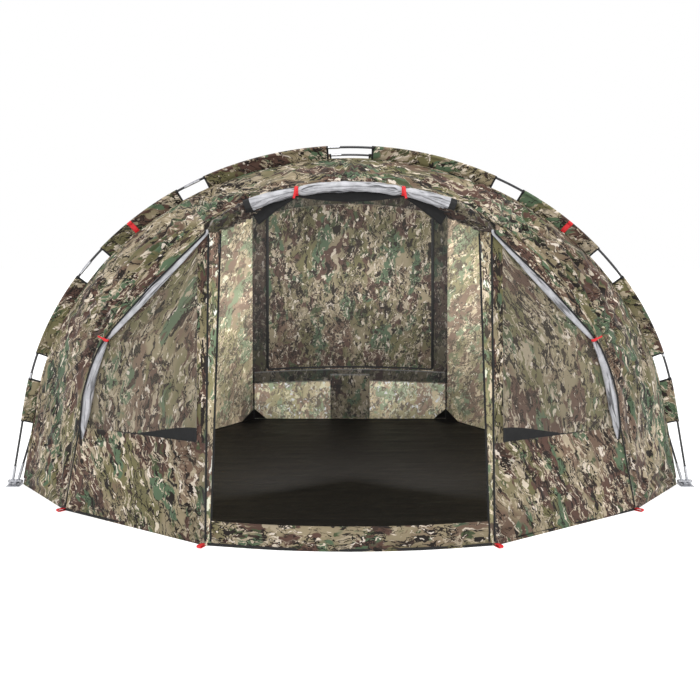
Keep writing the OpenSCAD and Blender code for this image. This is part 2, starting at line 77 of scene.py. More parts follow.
# ---------------------------------------------------------------- outlines and surfaces
class Outline:
    """A straight leg, a shoulder arc and a crown arc, mirrored over the middle."""

    def __init__(self, half_w, tilt, leg, shoulder_r=None, crown=30.0, inset=0.0, extra=0.0):
        tilt, self.crown = math.radians(tilt), math.radians(crown)
        round_r = (half_w - leg * math.sin(tilt)) / math.cos(tilt)
        self.r = (shoulder_r or round_r) - inset
        half_w, leg = half_w - inset / math.cos(tilt), leg - inset * math.tan(tilt)
        self.tilt = tilt
        self.top = np.array([half_w - leg * math.sin(tilt), leg * math.cos(tilt)])
        self.mid = self.top - self.r * np.array([math.cos(tilt), math.sin(tilt)])
        self.crown_r = self.r + self.mid[0] / math.sin(self.crown)
        self.crown_z = self.mid[1] - (self.crown_r - self.r) * math.cos(self.crown)
        self.crown_len = self.crown_r * self.crown
        self.arc_len = self.crown_len + self.r * (math.pi / 2 - tilt - self.crown)
        self.half_len = self.arc_len + leg + extra

    def along(self, d):
        """The outline's points at signed arc lengths d from the crown, as rows of x and height."""
        d = np.asarray(d, float)
        a = np.abs(d)
        q = a / self.crown_r
        crown = np.stack([self.crown_r * np.sin(q), self.crown_z + self.crown_r * np.cos(q)], -1)
        q = self.crown + (a - self.crown_len) / self.r
        shoulder = self.mid + self.r * np.stack([np.sin(q), np.cos(q)], -1)
        leg = self.top + (a - self.arc_len)[..., None] * np.array([math.sin(self.tilt), -math.cos(self.tilt)])
        p = np.where((a < self.crown_len)[..., None], crown, np.where((a < self.arc_len)[..., None], shoulder, leg))
        return p * np.stack([np.where(d < 0, -1.0, 1.0), np.ones_like(d)], -1)

    def at(self, t):
        return self.along(np.asarray(t, float) * self.half_len)


def lean(p, angle, y, z):
    a = math.radians(angle)
    return np.stack([p[..., 0], HUB_Y + y - p[..., 1] * math.sin(a), z + p[..., 1] * math.cos(a)], -1)


EXTRA = PIVOT_Z / math.cos(math.radians(LEG_TILT))
FRONT_ARCH = Outline(HALF_SPAN, LEG_TILT, LEG_LEN)
REAR_ARCH = Outline(HALF_SPAN - ARCH_NEST, LEG_TILT, LEG_LEN)
FRONT_RIDGE = Outline(HALF_SPAN, LEG_TILT, LEG_LEN, inset=SLEEVE_W, extra=EXTRA)
REAR_RIDGE = Outline(HALF_SPAN - ARCH_NEST, LEG_TILT, LEG_LEN, inset=SLEEVE_W, extra=EXTRA)
BROW = Outline(PEG_X, BROW_TILT, BROW_LEG, BROW_R, BROW_CROWN)


def front_ridge(t):
    return lean(FRONT_RIDGE.at(t), FRONT_LEAN, 0, PIVOT_Z)


def rear_ridge(t):
    return lean(REAR_RIDGE.at(t), REAR_LEAN, 0, PIVOT_Z)


def brow(t):
    return lean(BROW.at(t), BROW_LEAN, -PEG_Y, 0)


def mix(a, b, f):
    return a + (b - a) * f


def smooth(x):
    x = np.clip(x, 0, 1)
    return x * x * (3 - 2 * x)


def ruled(a, b, n):
    """A grid of points between two rows of points, with n cells across."""
    f = np.linspace(0, 1, n + 1)[None, :, None]
    return a[:, None, :] * (1 - f) + b[:, None, :] * f


def flip(p, side):
    return p * np.array([side, 1.0, 1.0])


BROW_TOP = brow(DOOR_T)
POST_TOP = BROW_TOP[2] - 0.025
BROW_TS = np.linspace(0, 1, 400)
BROW_POINTS = brow(BROW_TS)


def brow_share(z):
    return np.interp(-np.asarray(z), -BROW_POINTS[:, 2], BROW_TS)


def post_line(z, foot_x, top_x):
    z = np.asarray(z, float)
    share = z / POST_TOP
    y = mix(HUB_Y - POST_Y, BROW_TOP[1] - 0.012, share)
    return np.stack([mix(foot_x, top_x, share), y, z], -1)


def post_outer(z):
    return post_line(z, POST_X, POST_TOP_X)


def post_inner(z):
    return post_line(z, POST_X - POST_FOOT_W, POST_TOP_X - POST_W)


def facade(z, f):
    """The front beside the door: f runs from the door post to the brow seam."""
    return mix(post_outer(z), brow(brow_share(z)), np.asarray(f)[..., None])


def back_share():
    ts = np.linspace(0, 1, 400)
    return float(np.interp(BACK_TOP_X, rear_ridge(ts)[:, 0], ts))


BACK_T = back_share()
PANEL_F = 1 - BORDER_W / ((BACK_X + BACK_TOP_X) / 2)


def back(f, h):
    f, h = np.broadcast_arrays(np.asarray(f, float), np.asarray(h, float))
    hem = np.stack([BACK_X * f, np.full_like(f, HUB_Y + BACK_Y), np.zeros_like(f)], -1)
    return mix(hem, rear_ridge(BACK_T * f), h[..., None])


# ---------------------------------------------------------------- materials
def linear(rgb):
    c = np.array(rgb, float) / 255
    return tuple(np.where(c <= 0.04045, c / 12.92, ((c + 0.055) / 1.055) ** 2.4)) + (1.0,)


class Nodes:
    """A material with its Principled shader and short ways to add nodes to it."""

    def __init__(self, name, rough=0.8):
        self.material = bpy.data.materials.new(name)
        self.material.use_nodes = True
        self.tree = self.material.node_tree
        self.shader = self.tree.nodes["Principled BSDF"]
        self.shader.inputs["Roughness"].default_value = rough
        self.place = self.add("ShaderNodeTexCoord").outputs["Object"]

    def add(self, kind, **values):
        node = self.tree.nodes.new(kind)
        for key, value in values.items():
            setattr(node, key, value)
        return node

    def link(self, a, b):
        self.tree.links.new(a, b)

    def stretch(self, scale, source=None, turn=(0, 0, 0)):
        node = self.add("ShaderNodeMapping")
        node.inputs["Scale"].default_value = scale
        node.inputs["Rotation"].default_value = turn
        self.link(source or self.place, node.inputs["Vector"])
        return node.outputs["Vector"]

    def shift(self, source, offset):
        node = self.add("ShaderNodeMapping")
        node.inputs["Location"].default_value = offset
        self.link(source, node.inputs["Vector"])
        return node.outputs["Vector"]

    def noise(self, source, scale, detail=2.0, rough=0.5, distort=0.0):
        node = self.add("ShaderNodeTexNoise")
        for key, value in (("Scale", scale), ("Detail", detail), ("Roughness", rough), ("Distortion", distort)):
            node.inputs[key].default_value = value
        self.link(source, node.inputs["Vector"])
        return node.outputs["Fac"]

    def step(self, source, low, high, to_low=0.0, to_high=1.0):
        node = self.add("ShaderNodeMapRange", interpolation_type="SMOOTHSTEP")
        for key, value in (("From Min", low), ("From Max", high), ("To Min", to_low), ("To Max", to_high)):
            node.inputs[key].default_value = value
        self.link(source, node.inputs["Value"])
        return node.outputs["Result"]

    def math(self, operation, a, b=None):
        node = self.add("ShaderNodeMath", operation=operation)
        for slot, value in zip(node.inputs, (a, b)):
            if hasattr(value, "links"):
                self.link(value, slot)
            elif value is not None:
                slot.default_value = value
        return node.outputs["Value"]

    def blend(self, mask, under, over, mode="MIX"):
        node = self.add("ShaderNodeMix", data_type="RGBA", blend_type=mode)
        for name, value in (("Factor_Float", mask), ("A_Color", under), ("B_Color", over)):
            slot = next(s for s in node.inputs if s.identifier == name)
            if hasattr(value, "links"):
                self.link(value, slot)
            else:
                slot.default_value = value
        return next(s for s in node.outputs if s.identifier == "Result_Color")

    def bump(self, height, strength, distance, under=None):
        node = self.add("ShaderNodeBump")
        node.inputs["Strength"].default_value = strength
        node.inputs["Distance"].default_value = distance
        self.link(height, node.inputs["Height"])
        if under:
            self.link(under, node.inputs["Normal"])
        return node.outputs["Normal"]

    def colour(self, value):
        self.link(value, self.shader.inputs["Base Color"])

    def normal(self, value):
        self.link(value, self.shader.inputs["Normal"])


def weave(m, per_metre=900, strength=0.25):
    """A plain weave's fine relief under soft creases."""
    threads = m.noise(m.stretch((per_metre, per_metre, per_metre)), 1.0, 1.0)
    fine = m.bump(threads, strength, 0.0004)
    creases = m.noise(m.stretch((1.0, 1.0, 0.5)), 16.0, 3.0, 0.55, 0.8)
    m.normal(m.bump(creases, 0.35, 0.006, fine))


TAN, OLIVE, GREEN = (152, 139, 112), (111, 106, 72), (86, 106, 80)
BROWN, BARK, CREAM = (90, 66, 56), (34, 27, 22), (220, 207, 188)


def camo_colour(m, fade_and_glow=0.0, shade=1.0):
    """Printed camouflage: soft tan and olive grounds, ragged green and brown shapes, pale flecks and dark twigs.
    Scaling the print and mixing it towards pale cloth makes brighter copies that are painted glow of light through the
    cloth, darker copies that are painted shade, and a faded print on the window mesh.
    """
    flat = m.add("ShaderNodeTexCoord").outputs["UV"]
    warp = m.add("ShaderNodeTexNoise")
    warp.inputs["Scale"].default_value = 11.0
    warp.inputs["Detail"].default_value = 4.0
    m.link(flat, warp.inputs["Vector"])
    shift = m.add("ShaderNodeVectorMath", operation="MULTIPLY_ADD")
    m.link(warp.outputs["Color"], shift.inputs[0])
    shift.inputs[1].default_value = (0.055, 0.10, 0.0)
    m.link(flat, shift.inputs[2])
    place = m.stretch((1.0, 0.40, 1.0), shift.outputs["Vector"])

    def field(offset, scale, detail=3.0, rough=0.6):
        return m.noise(m.shift(place, (offset, -offset, 0.7 * offset)), scale, detail, rough)

    def patches(offset, scale, edge, soft=0.014, detail=3.0, rough=0.6):
        return m.step(field(offset, scale, detail, rough), edge, edge + soft)

    def line(offset, scale, width, detail=3.0):
        away = m.math("ABSOLUTE", m.math("SUBTRACT", field(offset, scale, detail, 0.62), 0.5))
        return m.math("SUBTRACT", 1.0, m.step(away, width, width * 1.9))

    # Each colour scaled and mixed towards pale cloth: painted glow where it brightens the inside copies, painted shade
    # where it darkens the shaded copies, a faded print on the window mesh.
    def painted_light_and_fade(rgb):
        return linear([min(mix(c * shade, pale, fade_and_glow), 244) for c, pale in zip(rgb, (222, 213, 190))])

    paint = m.blend(patches(0.0, 3.4, 0.42, 0.14), painted_light_and_fade(TAN), painted_light_and_fade(OLIVE))
    paint = m.blend(patches(61.0, 4.2, 0.53, 0.08), paint, painted_light_and_fade((118, 96, 80)))
    paint = m.blend(patches(3.1, 6.5, 0.545, 0.03), paint, painted_light_and_fade(GREEN))
    paint = m.blend(patches(7.7, 7.0, 0.545, 0.02), paint, painted_light_and_fade(BROWN))
    paint = m.blend(patches(71.3, 15.0, 0.60, 0.03), paint, painted_light_and_fade((74, 84, 56)))
    paint = m.blend(patches(19.3, 19.0, 0.595, 0.02), paint, painted_light_and_fade((176, 162, 138)))
    paint = m.blend(patches(87.1, 22.0, 0.615, 0.02), paint, painted_light_and_fade((64, 50, 42)))
    pale_lines = m.math("MULTIPLY", line(13.7, 19.0, 0.010), patches(91.0, 6.0, 0.47, 0.03))
    paint = m.blend(pale_lines, paint, painted_light_and_fade((196, 182, 160)))
    paint = m.blend(patches(11.93, 27.0, 0.607, 0.012), paint, painted_light_and_fade(BARK))
    paint = m.blend(patches(11.9, 27.0, 0.625, 0.012), paint, painted_light_and_fade(CREAM))
    long_twigs = m.math("MULTIPLY", line(31.0, 14.0, 0.010, 4.0), patches(41.0, 6.0, 0.46, 0.03))
    paint = m.blend(long_twigs, paint, painted_light_and_fade(BARK))
    paint = m.blend(m.math("MULTIPLY", line(37.0, 30.0, 0.013), patches(45.0, 8.0, 0.50, 0.03)), paint, painted_light_and_fade(BARK))
    paint = m.blend(patches(67.0, 34.0, 0.655, 0.012), paint, painted_light_and_fade((226, 214, 200)))
    tone = m.step(m.noise(flat, 2.4, 3.0), 0.3, 0.7, 0.80, 1.12)
    value = m.add("ShaderNodeHueSaturation")
    m.link(paint, value.inputs["Color"])
    m.link(tone, value.inputs["Value"])
    return value.outputs["Color"]


def lets_light_through(m, colour, share):
    """Mixes in light that comes through the cloth from its other side."""
    glow = m.add("ShaderNodeBsdfTranslucent")
    m.link(colour, glow.inputs["Color"])
    both = m.add("ShaderNodeMixShader")
    both.inputs["Fac"].default_value = share
    m.link(m.shader.outputs["BSDF"], both.inputs[1])
    m.link(glow.outputs["BSDF"], both.inputs[2])
    m.link(both.outputs["Shader"], m.tree.nodes["Material Output"].inputs["Surface"])


def camo_material(name, fade_and_glow=0.0, shade=1.0, through=0.0, alpha=1.0):
    m = Nodes(name, 0.82)
    paint = camo_colour(m, fade_and_glow, shade)
    m.colour(paint)
    weave(m)
    m.shader.inputs["Sheen Weight"].default_value = 0.12
    m.shader.inputs["Specular IOR Level"].default_value = 0.3
    if alpha < 1:
        m.shader.inputs["Alpha"].default_value = alpha
    if through:
        lets_light_through(m, paint, through)
    return m.material


def plain_cloth(name, light, dark, rough, scale=14.0, threads=700, relief=0.3, sheen=0.0):
    m = Nodes(name, rough)
    folds = m.noise(m.place, scale, 4.0, 0.6, 0.4)
    # The colour is darker where the folds' relief is low: painted shade in the folds.
    m.colour(m.blend(m.step(folds, 0.3, 0.7), linear(dark), linear(light)))
    fine = m.bump(m.noise(m.stretch((threads, threads, threads)), 1.0, 1.0), 0.25, 0.0004)
    m.normal(m.bump(folds, relief, 0.006, fine))
    m.shader.inputs["Sheen Weight"].default_value = sheen
    return m.material


def lining_material(name, light, dark):
    """Coated grey lining of a rolled cover, with creases that run along the roll; the dark colour along their hollows
    is painted shade.
    """
    m = Nodes(name, 0.45)
    flat = m.add("ShaderNodeTexCoord").outputs["UV"]
    along = m.noise(m.stretch((60.0, 5.0, 1.0), flat), 1.0, 3.0, 0.6, 0.6)
    cloudy = m.noise(m.place, 24.0, 3.0, 0.6)
    # Dark where the lengthwise creases are low: painted shade in the creases.
    paint = m.blend(m.step(along, 0.38, 0.50), linear(dark), linear(light))
    between = linear([mix(a, b, 0.45) for a, b in zip(light, dark)])
    m.colour(m.blend(m.step(cloudy, 0.35, 0.70, 0.0, 0.55), paint, between))
    m.normal(m.bump(along, 0.9, 0.006, m.bump(cloudy, 0.5, 0.003)))
    return m.material


def webbing_material(name, light, dark):
    """Ribbed woven tape."""
    m = Nodes(name, 0.6)
    ribs = m.add("ShaderNodeTexWave", wave_type="BANDS", bands_direction="DIAGONAL")
    ribs.inputs["Scale"].default_value = 260.0
    ribs.inputs["Distortion"].default_value = 1.0
    m.link(m.place, ribs.inputs["Vector"])
    m.colour(m.blend(ribs.outputs["Fac"], linear(dark), linear(light)))
    m.normal(m.bump(ribs.outputs["Fac"], 0.4, 0.0005))
    return m.material


def metal_material(name, light, dark, rough=0.32):
    m = Nodes(name, rough)
    streaks = m.noise(m.stretch((90, 90, 90)), 2.0, 4.0, 0.7)
    m.colour(m.blend(m.step(streaks, 0.35, 0.65), linear(dark), linear(light)))
    m.link(m.step(streaks, 0.3, 0.7, rough - 0.08, rough + 0.12), m.shader.inputs["Roughness"])
    m.normal(m.bump(streaks, 0.12, 0.0003))
    m.shader.inputs["Metallic"].default_value = 1.0
    return m.material


def pole_material():
    """Pultruded fibreglass: fine lengthwise fibres under a dull gloss."""
    m = Nodes("pole_fibreglass", 0.38)
    fibres = m.noise(m.stretch((500, 500, 500)), 1.0, 3.0, 0.7)
    m.colour(m.blend(fibres, linear((22, 22, 24)), linear((52, 52, 56))))
    m.normal(m.bump(fibres, 0.15, 0.0003))
    return m.material


def floor_sheet_material():
    """Dark laminated groundsheet that lies in fine creases. Its colour is darkened past the laminate's own as painted
    shade inside the shelter, and darker still in the creases' hollows as painted shade.
    """
    m = Nodes("groundsheet_laminate", 0.6)
    m.shader.inputs["Specular IOR Level"].default_value = 0.25
    creases = m.noise(m.stretch((0.6, 3.0, 1.0)), 9.0, 5.0, 0.65, 0.3)
    # Very dark, and darker where the creases are low: painted shade inside the shelter and in the creases.
    m.colour(m.blend(m.step(creases, 0.3, 0.75), linear((6, 5, 4)), linear((15, 12, 10))))
    scrim = m.noise(m.stretch((350, 350, 350)), 1.0, 1.0)
    m.normal(m.bump(creases, 0.5, 0.01, m.bump(scrim, 0.2, 0.0004)))
    return m.material


MAT = {
    "camo": camo_material("camo_canopy", through=0.22),
    # Paler inside faces of the roof: painted glow of daylight coming through the cloth.
    "camo_in": camo_material("camo_canopy_inside", fade_and_glow=0.10, through=0.40),
    # Brighter, paler inside of the side walls and brow: painted glow of daylight coming through the cloth.
    "camo_side_in": camo_material("camo_side_inside", fade_and_glow=0.45, shade=1.26, through=0.52),
    # Darkened print for the insides of the back's top and borders and for the door header: painted shade.
    "camo_dark": camo_material("camo_border", shade=0.42),
    # Darkened print for the gathered door ends and the back's low patch: painted shade.
    "camo_double": camo_material("camo_double_layer", shade=0.62),
    # Much brighter, paler inside of the low back wall: painted glow of daylight coming through the cloth.
    "camo_back_in": camo_material("camo_back_inside", fade_and_glow=0.50, shade=1.62, through=0.28),
    # Darkened inside of the back panel: painted shade.
    "camo_panel_in": camo_material("camo_panel_inside", fade_and_glow=0.05, shade=0.68, through=0.20),
    # Paler, brighter print on the door posts: painted glow of light coming through the cloth from behind.
    "camo_pale": camo_material("camo_post", fade_and_glow=0.20, shade=1.22, through=0.22),
    "camo_mesh": camo_material("camo_window_mesh", fade_and_glow=0.13, shade=0.80, alpha=0.80),
    "grey": lining_material("coated_lining", (176, 176, 180), (58, 58, 61)),
    "mesh_black": plain_cloth("black_insect_mesh", (17, 17, 18), (7, 7, 8), 0.9, 30.0, 1400, 0.4),
    "binding": plain_cloth("black_binding", (18, 18, 18), (7, 7, 7), 0.8, 60.0, 900, 0.3),
    "zip_tape": plain_cloth("zip_tape", (13, 13, 13), (5, 5, 5), 0.75, 90.0, 1500, 0.3),
    "red": webbing_material("red_webbing", (226, 30, 38), (168, 14, 22)),
    "black_web": webbing_material("black_webbing", (40, 38, 38), (18, 17, 17)),
    "floor": floor_sheet_material(),
    "pole": pole_material(),
    "metal": metal_material("bare_metal", (205, 206, 210), (150, 151, 156)),
    "slider": metal_material("slider_metal", (92, 92, 94), (52, 52, 54), 0.4),
    "elastic": plain_cloth("elastic_cord", (34, 34, 34), (14, 14, 14), 0.7, 200.0, 1200, 0.3),
}


# ---------------------------------------------------------------- mesh tools
def mesh_object(name, points, faces, materials, which=None, cut=None):
    """A mesh whose UV map holds its place on the flat cut, in metres."""
    mesh = bpy.data.meshes.new(name)
    mesh.from_pydata([tuple(map(float, p)) for p in points], [], faces)
    layer = mesh.uv_layers.new(name="UVMap")
    if cut is not None:
        corners = np.zeros(len(mesh.loops), np.int32)
        mesh.loops.foreach_get("vertex_index", corners)
        layer.data.foreach_set("uv", np.asarray(cut, np.float32)[corners].reshape(-1))
    for material in materials:
        mesh.materials.append(MAT[material])
    if which is not None:
        mesh.polygons.foreach_set("material_index", which)
    mesh.polygons.foreach_set("use_smooth", [True] * len(mesh.polygons))
    mesh.update()
    piece = bpy.data.objects.new(name, mesh)
    bpy.context.scene.collection.objects.link(piece)
    return piece


def sampled(points, scale, seed, octaves=3):
    """Smooth noise at each point, from about -1 to 1."""
    flat = np.asarray(points, float).reshape(-1, 3) * np.asarray(scale, float) + seed * 17.31
    out = [noise.fractal(Vector(p), 1.0, 2.0, octaves) for p in flat]
    return np.array(out).reshape(np.asarray(points).shape[:-1])


def grid_normals(grid, centre):
    along, across = np.gradient(grid, axis=0), np.gradient(grid, axis=1)
    n = np.cross(along, across)
    n /= np.maximum(np.linalg.norm(n, axis=-1, keepdims=True), 1e-9)
    turned = np.sign(((grid - centre) * n).sum(-1).mean())
    return n * (turned if turned else 1.0)


def lengths(grid, axis):
    step = np.linalg.norm(np.diff(grid, axis=axis), axis=-1)
    zero = np.zeros(step.shape[:axis] + (1,) + step.shape[axis + 1:])
    return np.concatenate([zero, np.cumsum(step, axis=axis)], axis=axis)


INSIDE = np.array([0.0, HUB_Y, 0.7])


def edge_room(grid):
    """Distance in metres of every grid point to the nearest edge of its panel."""
    u, v = lengths(grid, 0), lengths(grid, 1)
    return np.minimum(np.minimum(u, u[-1:] - u), np.minimum(v, v[:, -1:] - v))


def cloth_relief(grid, seed, billow=0.007, crease=0.004, pucker=0.0022, grain=(5.0, 5.0, 1.6), slack=0.16):
    """How far tensioned cloth stands off its flat cut: soft billows, long creases, puckers at seams."""
    room = edge_room(grid)
    held = smooth(room / slack)
    soft = sampled(grid, (2.1, 2.1, 2.1), seed, 2) * billow * held
    ridges = 1 - np.abs(sampled(grid, grain, seed + 3, 2)) * 2.2
    long = np.clip(ridges, 0, 1) ** 2 * crease * smooth(room / 0.10)
    near = np.exp(-room / 0.035) * smooth(room / 0.012)
    puckers = sampled(grid, (19.0, 19.0, 19.0), seed + 5, 1) * pucker * near
    return soft + long + puckers


def on_cut(grid, turn=0.0, seed=0.0):
    """Each point's place on the printed cloth, whose print runs lengthwise along the grid's rows."""
    u, v = lengths(grid, 1), lengths(grid, 0)
    u = u - u[:, -1:] / 2
    a = math.radians(turn)
    flat = np.stack([u * math.cos(a) - v * math.sin(a), u * math.sin(a) + v * math.cos(a)], -1)
    return flat.reshape(-1, 2) + [seed * 1.37 % 7, seed * 2.11 % 9]


def shell(name, grid, materials, relief=None, centre=INSIDE, thickness=SHEET, turn=0.0):
    """A closed sheet over a grid: its outside takes the first material and its inside the second."""
    n = grid_normals(grid, centre)
    body = grid + n * (0 if relief is None else relief[..., None])
    rows, cols = grid.shape[:2]
    count = rows * cols
    points = np.concatenate([(body + n * thickness / 2).reshape(-1, 3), (body - n * thickness / 2).reshape(-1, 3)])
    index = np.arange(count).reshape(rows, cols)
    a, b, c, d = index[:-1, :-1], index[1:, :-1], index[1:, 1:], index[:-1, 1:]
    outer = np.stack([a, b, c, d], -1).reshape(-1, 4)
    middle = (rows - 1) // 2, (cols - 1) // 2
    sample = points[outer[middle[0] * (cols - 1) + middle[1]]]
    facing = np.cross(sample[1] - sample[0], sample[3] - sample[0]) @ n[middle]
    if facing < 0:
        outer = outer[:, ::-1]
    inner = outer[:, ::-1] + count
    ring = np.concatenate([index[0, :], index[1:, -1], index[-1, -2::-1], index[-2:0:-1, 0]])
    follow = np.roll(ring, -1)
    rim = np.stack([ring, follow, follow + count, ring + count], -1)
    if facing > 0:
        rim = rim[:, ::-1]
    faces = np.concatenate([outer, inner, rim]).tolist()
    which = np.concatenate([np.zeros(len(outer), int), np.full(len(inner), len(materials) - 1), np.zeros(len(rim), int)])
    flat = on_cut(grid, turn, sum(map(ord, name)) / 10)
    return mesh_object(name, points, faces, materials, which.tolist(), np.concatenate([flat, flat]))


def smoothed_path(points, count):
    """Evenly spread points on a soft curve through a few given ones."""
    points = np.asarray(points, float)
    room = np.concatenate([[0], np.cumsum(np.linalg.norm(np.diff(points, axis=0), axis=1))])
    s = np.linspace(0, room[-1], count)
    path = np.stack([np.interp(s, room, points[:, k]) for k in range(3)], -1)
    for _ in range(max(2, count // 12)):
        path[1:-1] = (path[:-2] + 2 * path[1:-1] + path[2:]) / 4
    return path


def frames(path, up):
    """Two directions across a path at each of its points, the second one nearest to up."""
    along = np.gradient(path, axis=0)
    along /= np.linalg.norm(along, axis=1, keepdims=True)
    side = np.cross(along, np.broadcast_to(np.asarray(up, float), along.shape))
    side /= np.linalg.norm(side, axis=1, keepdims=True)
    return side, np.cross(side, along)


def swept(name, path, profile, materials, up=(0, 0, 1), pick=None, place=None, turn=0.0):
    """A closed body along a path. profile(i) gives its outline there, as rows across and up."""
    side, high = frames(path, up) if place is None else place
    rings = []
    for i, p in enumerate(path):
        q = profile(i)
        rings.append(p + q[:, :1] * side[i] + q[:, 1:] * high[i])
    rings = np.array(rings)
    n, k = rings.shape[:2]
    faces, which = [], []
    for i in range(n - 1):
        for j in range(k):
            a, b = i * k + j, i * k + (j + 1) % k
            faces.append((a, b, b + k, a + k))
            which.append(0 if pick is None else pick(i, j))
    faces.append(tuple(range(k))[::-1])
    faces.append(tuple(range((n - 1) * k, n * k)))
    which += [which[0], which[-1]]
    cut = on_cut(rings, turn, sum(map(ord, name)) / 10 + rings[0, 0, 0])
    return mesh_object(name, rings.reshape(-1, 3), faces, materials, which, cut)


def circle(r, k, squeeze=1.0):
    q = np.linspace(0, 2 * math.pi, k, endpoint=False)
    return np.stack([r * np.cos(q), r * squeeze * np.sin(q)], -1)


def box_profile(w, h):
    """A flat band's outline with its long edges rounded."""
    x, y, r = w / 2, h / 2, min(w, h) * 0.35
    return np.array([(-x, -y + r), (-x + r, -y), (x - r, -y), (x, -y + r),
                     (x, y - r), (x - r, y), (-x + r, y), (-x, y - r)])


def joined(name, pieces):
    """One object from several, which keeps their materials."""
    bpy.ops.object.select_all(action="DESELECT")
    for piece in pieces:
        piece.select_set(True)
    bpy.context.view_layer.objects.active = pieces[0]
    bpy.ops.object.join()
    pieces[0].name = pieces[0].data.name = name
    return pieces[0]


def fit_out(piece, body, nodes=(), folds=True):
    """Rides on a body, stands for CAD nodes and, as cloth on the shelter, gets a mesh of its own."""
    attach(piece, body)
    if nodes:
        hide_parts(*nodes)
    if folds:
        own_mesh(piece)
    return piece


def pulls(grid, spots, reach=0.35, depth=0.013):
    """Creases that fan out from the points where the cloth is held."""
    n = grid_normals(grid, INSIDE)
    out = np.zeros(grid.shape[:2])
    for k, spot in enumerate(spots):
        away = grid - np.asarray(spot)
        r = np.linalg.norm(away, axis=-1)
        across = np.array([1.0, 0.2, 0.0]) - n * (n @ [1.0, 0.2, 0.0])[..., None]
        q = np.arctan2((away * np.cross(n, across)).sum(-1), (away * across).sum(-1))
        fan = np.cos(17 * q + 2.2 * np.sin(3 * q + k) + k) + 0.6 * np.cos(29 * q + 5 * k)
        out += depth * fan * np.exp(-r / reach) * smooth(r / 0.10)
    return out


def panel(name, node, grid, materials, seed, rests_on, slot="camo_fabric", held="stretched", turn=0.0,
          held_at=(), folds=None, **relief):
    """One sewn panel: relief, folds and the pulls of the points that hold it, on its grid."""
    stand = cloth_relief(grid, seed, **relief)
    if folds is not None:
        stand = stand + folds * smooth(edge_room(grid) / 0.02)
    if len(held_at):
        stand = stand + pulls(grid, held_at) * smooth(edge_room(grid) / 0.03)
    piece = shell(name, grid, materials, stand, turn=turn)
    fit_out(piece, SHELTER, [node])
    return piece


SIDES = (("left", -1), ("right", 1))
FRONT_POLES = ("front_pole_3", "front_pole_6")
REAR_POLES = ("rear_pole_3", "rear_pole_6")


# ---------------------------------------------------------------- canopy
def build_roof():
    t = np.linspace(-0.992, 0.992, 230)
    grid = ruled(front_ridge(t), rear_ridge(t), 26)
    v = np.linspace(0, 1, 27)[None, :]
    sag = -0.016 * 4 * v * (1 - v) * np.cos(t * math.pi / 2)[:, None]
    piece = shell("roof_cloth", grid, ["camo", "camo_in"],
                  cloth_relief(grid, 1, billow=0.006, grain=(1.2, 6.0, 1.2)) + sag)
    fit_out(piece, SHELTER, ["roof"])


# Each fold's place from the brow seam to the ridge and its width, as shares, and its depth in metres
BROW_FOLDS = ((0.07, 0.022, 0.016), (0.16, 0.026, 0.020), (0.27, 0.032, 0.018), (0.42, 0.045, 0.014), (0.62, 0.06, 0.012))


def gathered(t, v):
    """Deep folds of slack cloth beside the window's head, along the brow seam."""
    a = np.abs(t)[:, None]
    held = smooth((a - 0.31) / 0.07) * smooth((0.70 - a) / 0.16)
    out = np.zeros((len(t), len(v)))
    for k, (at, width, depth) in enumerate(BROW_FOLDS):
        line = at + 0.035 * np.sin(9 * a + 1.9 * k) + 0.015 * np.sin(31 * a + k)
        out -= depth * np.exp(-(((v[None, :] - line) / width) ** 2)) * held
        out += depth * 0.7 * np.exp(-(((v[None, :] - line - 1.9 * width) / (1.3 * width)) ** 2)) * held
    return out


def build_brow():
    for name, node, t0, t1, n, seed in (("hood_cloth", "hood", -DOOR_T, DOOR_T, 110, 2),
                                        ("wing_cloth_left", "wing_left", -1, -DOOR_T, 150, 3),
                                        ("wing_cloth_right", "wing_right", DOOR_T, 1, 150, 4)):
        t = np.linspace(t0, t1, n)
        grid = ruled(brow(t), front_ridge(t), 44)
        ends = [brow(q) for q in (t0, t1, math.copysign(WINDOW_TIE_T, t0) if abs(t0 + t1) > 0.1 else 0.0)]
        ends += [front_ridge(q) for q in (t0, t1)]
        folds = gathered(t, np.linspace(0, 1, 45)) if abs(t0 + t1) > 0.1 else None
        panel(name, node, grid, ["camo", "camo_side_in"], seed, FRONT_POLES, held_at=ends, folds=folds,
              billow=0.013, crease=0.014, pucker=0.006, grain=(6.0, 6.0, 1.8), slack=0.08)


STRIP_W = 0.055            # printed strip between the post's zip and the window mesh


TIE_Z = float(brow(WINDOW_TIE_T)[2])
COVER_TOP, COVER_FOOT = float(POST_TOP) - 0.040, 0.400


def cover_x(z):
    """The rolled cover lies straight from the post's top to its tie, then down beside the brow seam."""
    z = np.asarray(z, float)
    chord = mix(brow(WINDOW_TIE_T)[0] - 0.034, post_outer(COVER_TOP)[0] + 0.014, (z - TIE_Z) / (COVER_TOP - TIE_Z))
    return np.where(z > TIE_Z, chord, brow(brow_share(z))[..., 0] - 0.034)


def window_line(z):
    """Share of the front's width at which the cover lies."""
    post, seam = post_outer(z), brow(brow_share(z))
    f = (cover_x(z) - post[..., 0]) / np.maximum(seam[..., 0] - post[..., 0], 1e-4)
    return np.clip(f, 0.0, 0.985)


def cover_point(z, out):
    """The middle of the right cover at a height, standing out from the front by a distance."""
    post, seam = post_outer(z), brow(brow_share(z))
    way = (seam - post)[..., :2]
    normal = np.stack([way[..., 1], -way[..., 0], np.zeros_like(way[..., 0])], -1)
    normal /= np.linalg.norm(normal, axis=-1, keepdims=True)
    return facade(z, window_line(z)) + normal * np.asarray(out)[..., None]


def facade_grid(z, f0, f1, cols, side):
    share = np.linspace(0, 1, cols + 1)[None, :]
    f = f0[:, None] * (1 - share) + f1[:, None] * share
    return flip(facade(np.broadcast_to(z[:, None], f.shape), f), side)


def strip_share(z, width):
    post, seam = post_outer(z), brow(brow_share(z))
    return width / np.maximum(np.linalg.norm(seam - post, axis=-1), width)


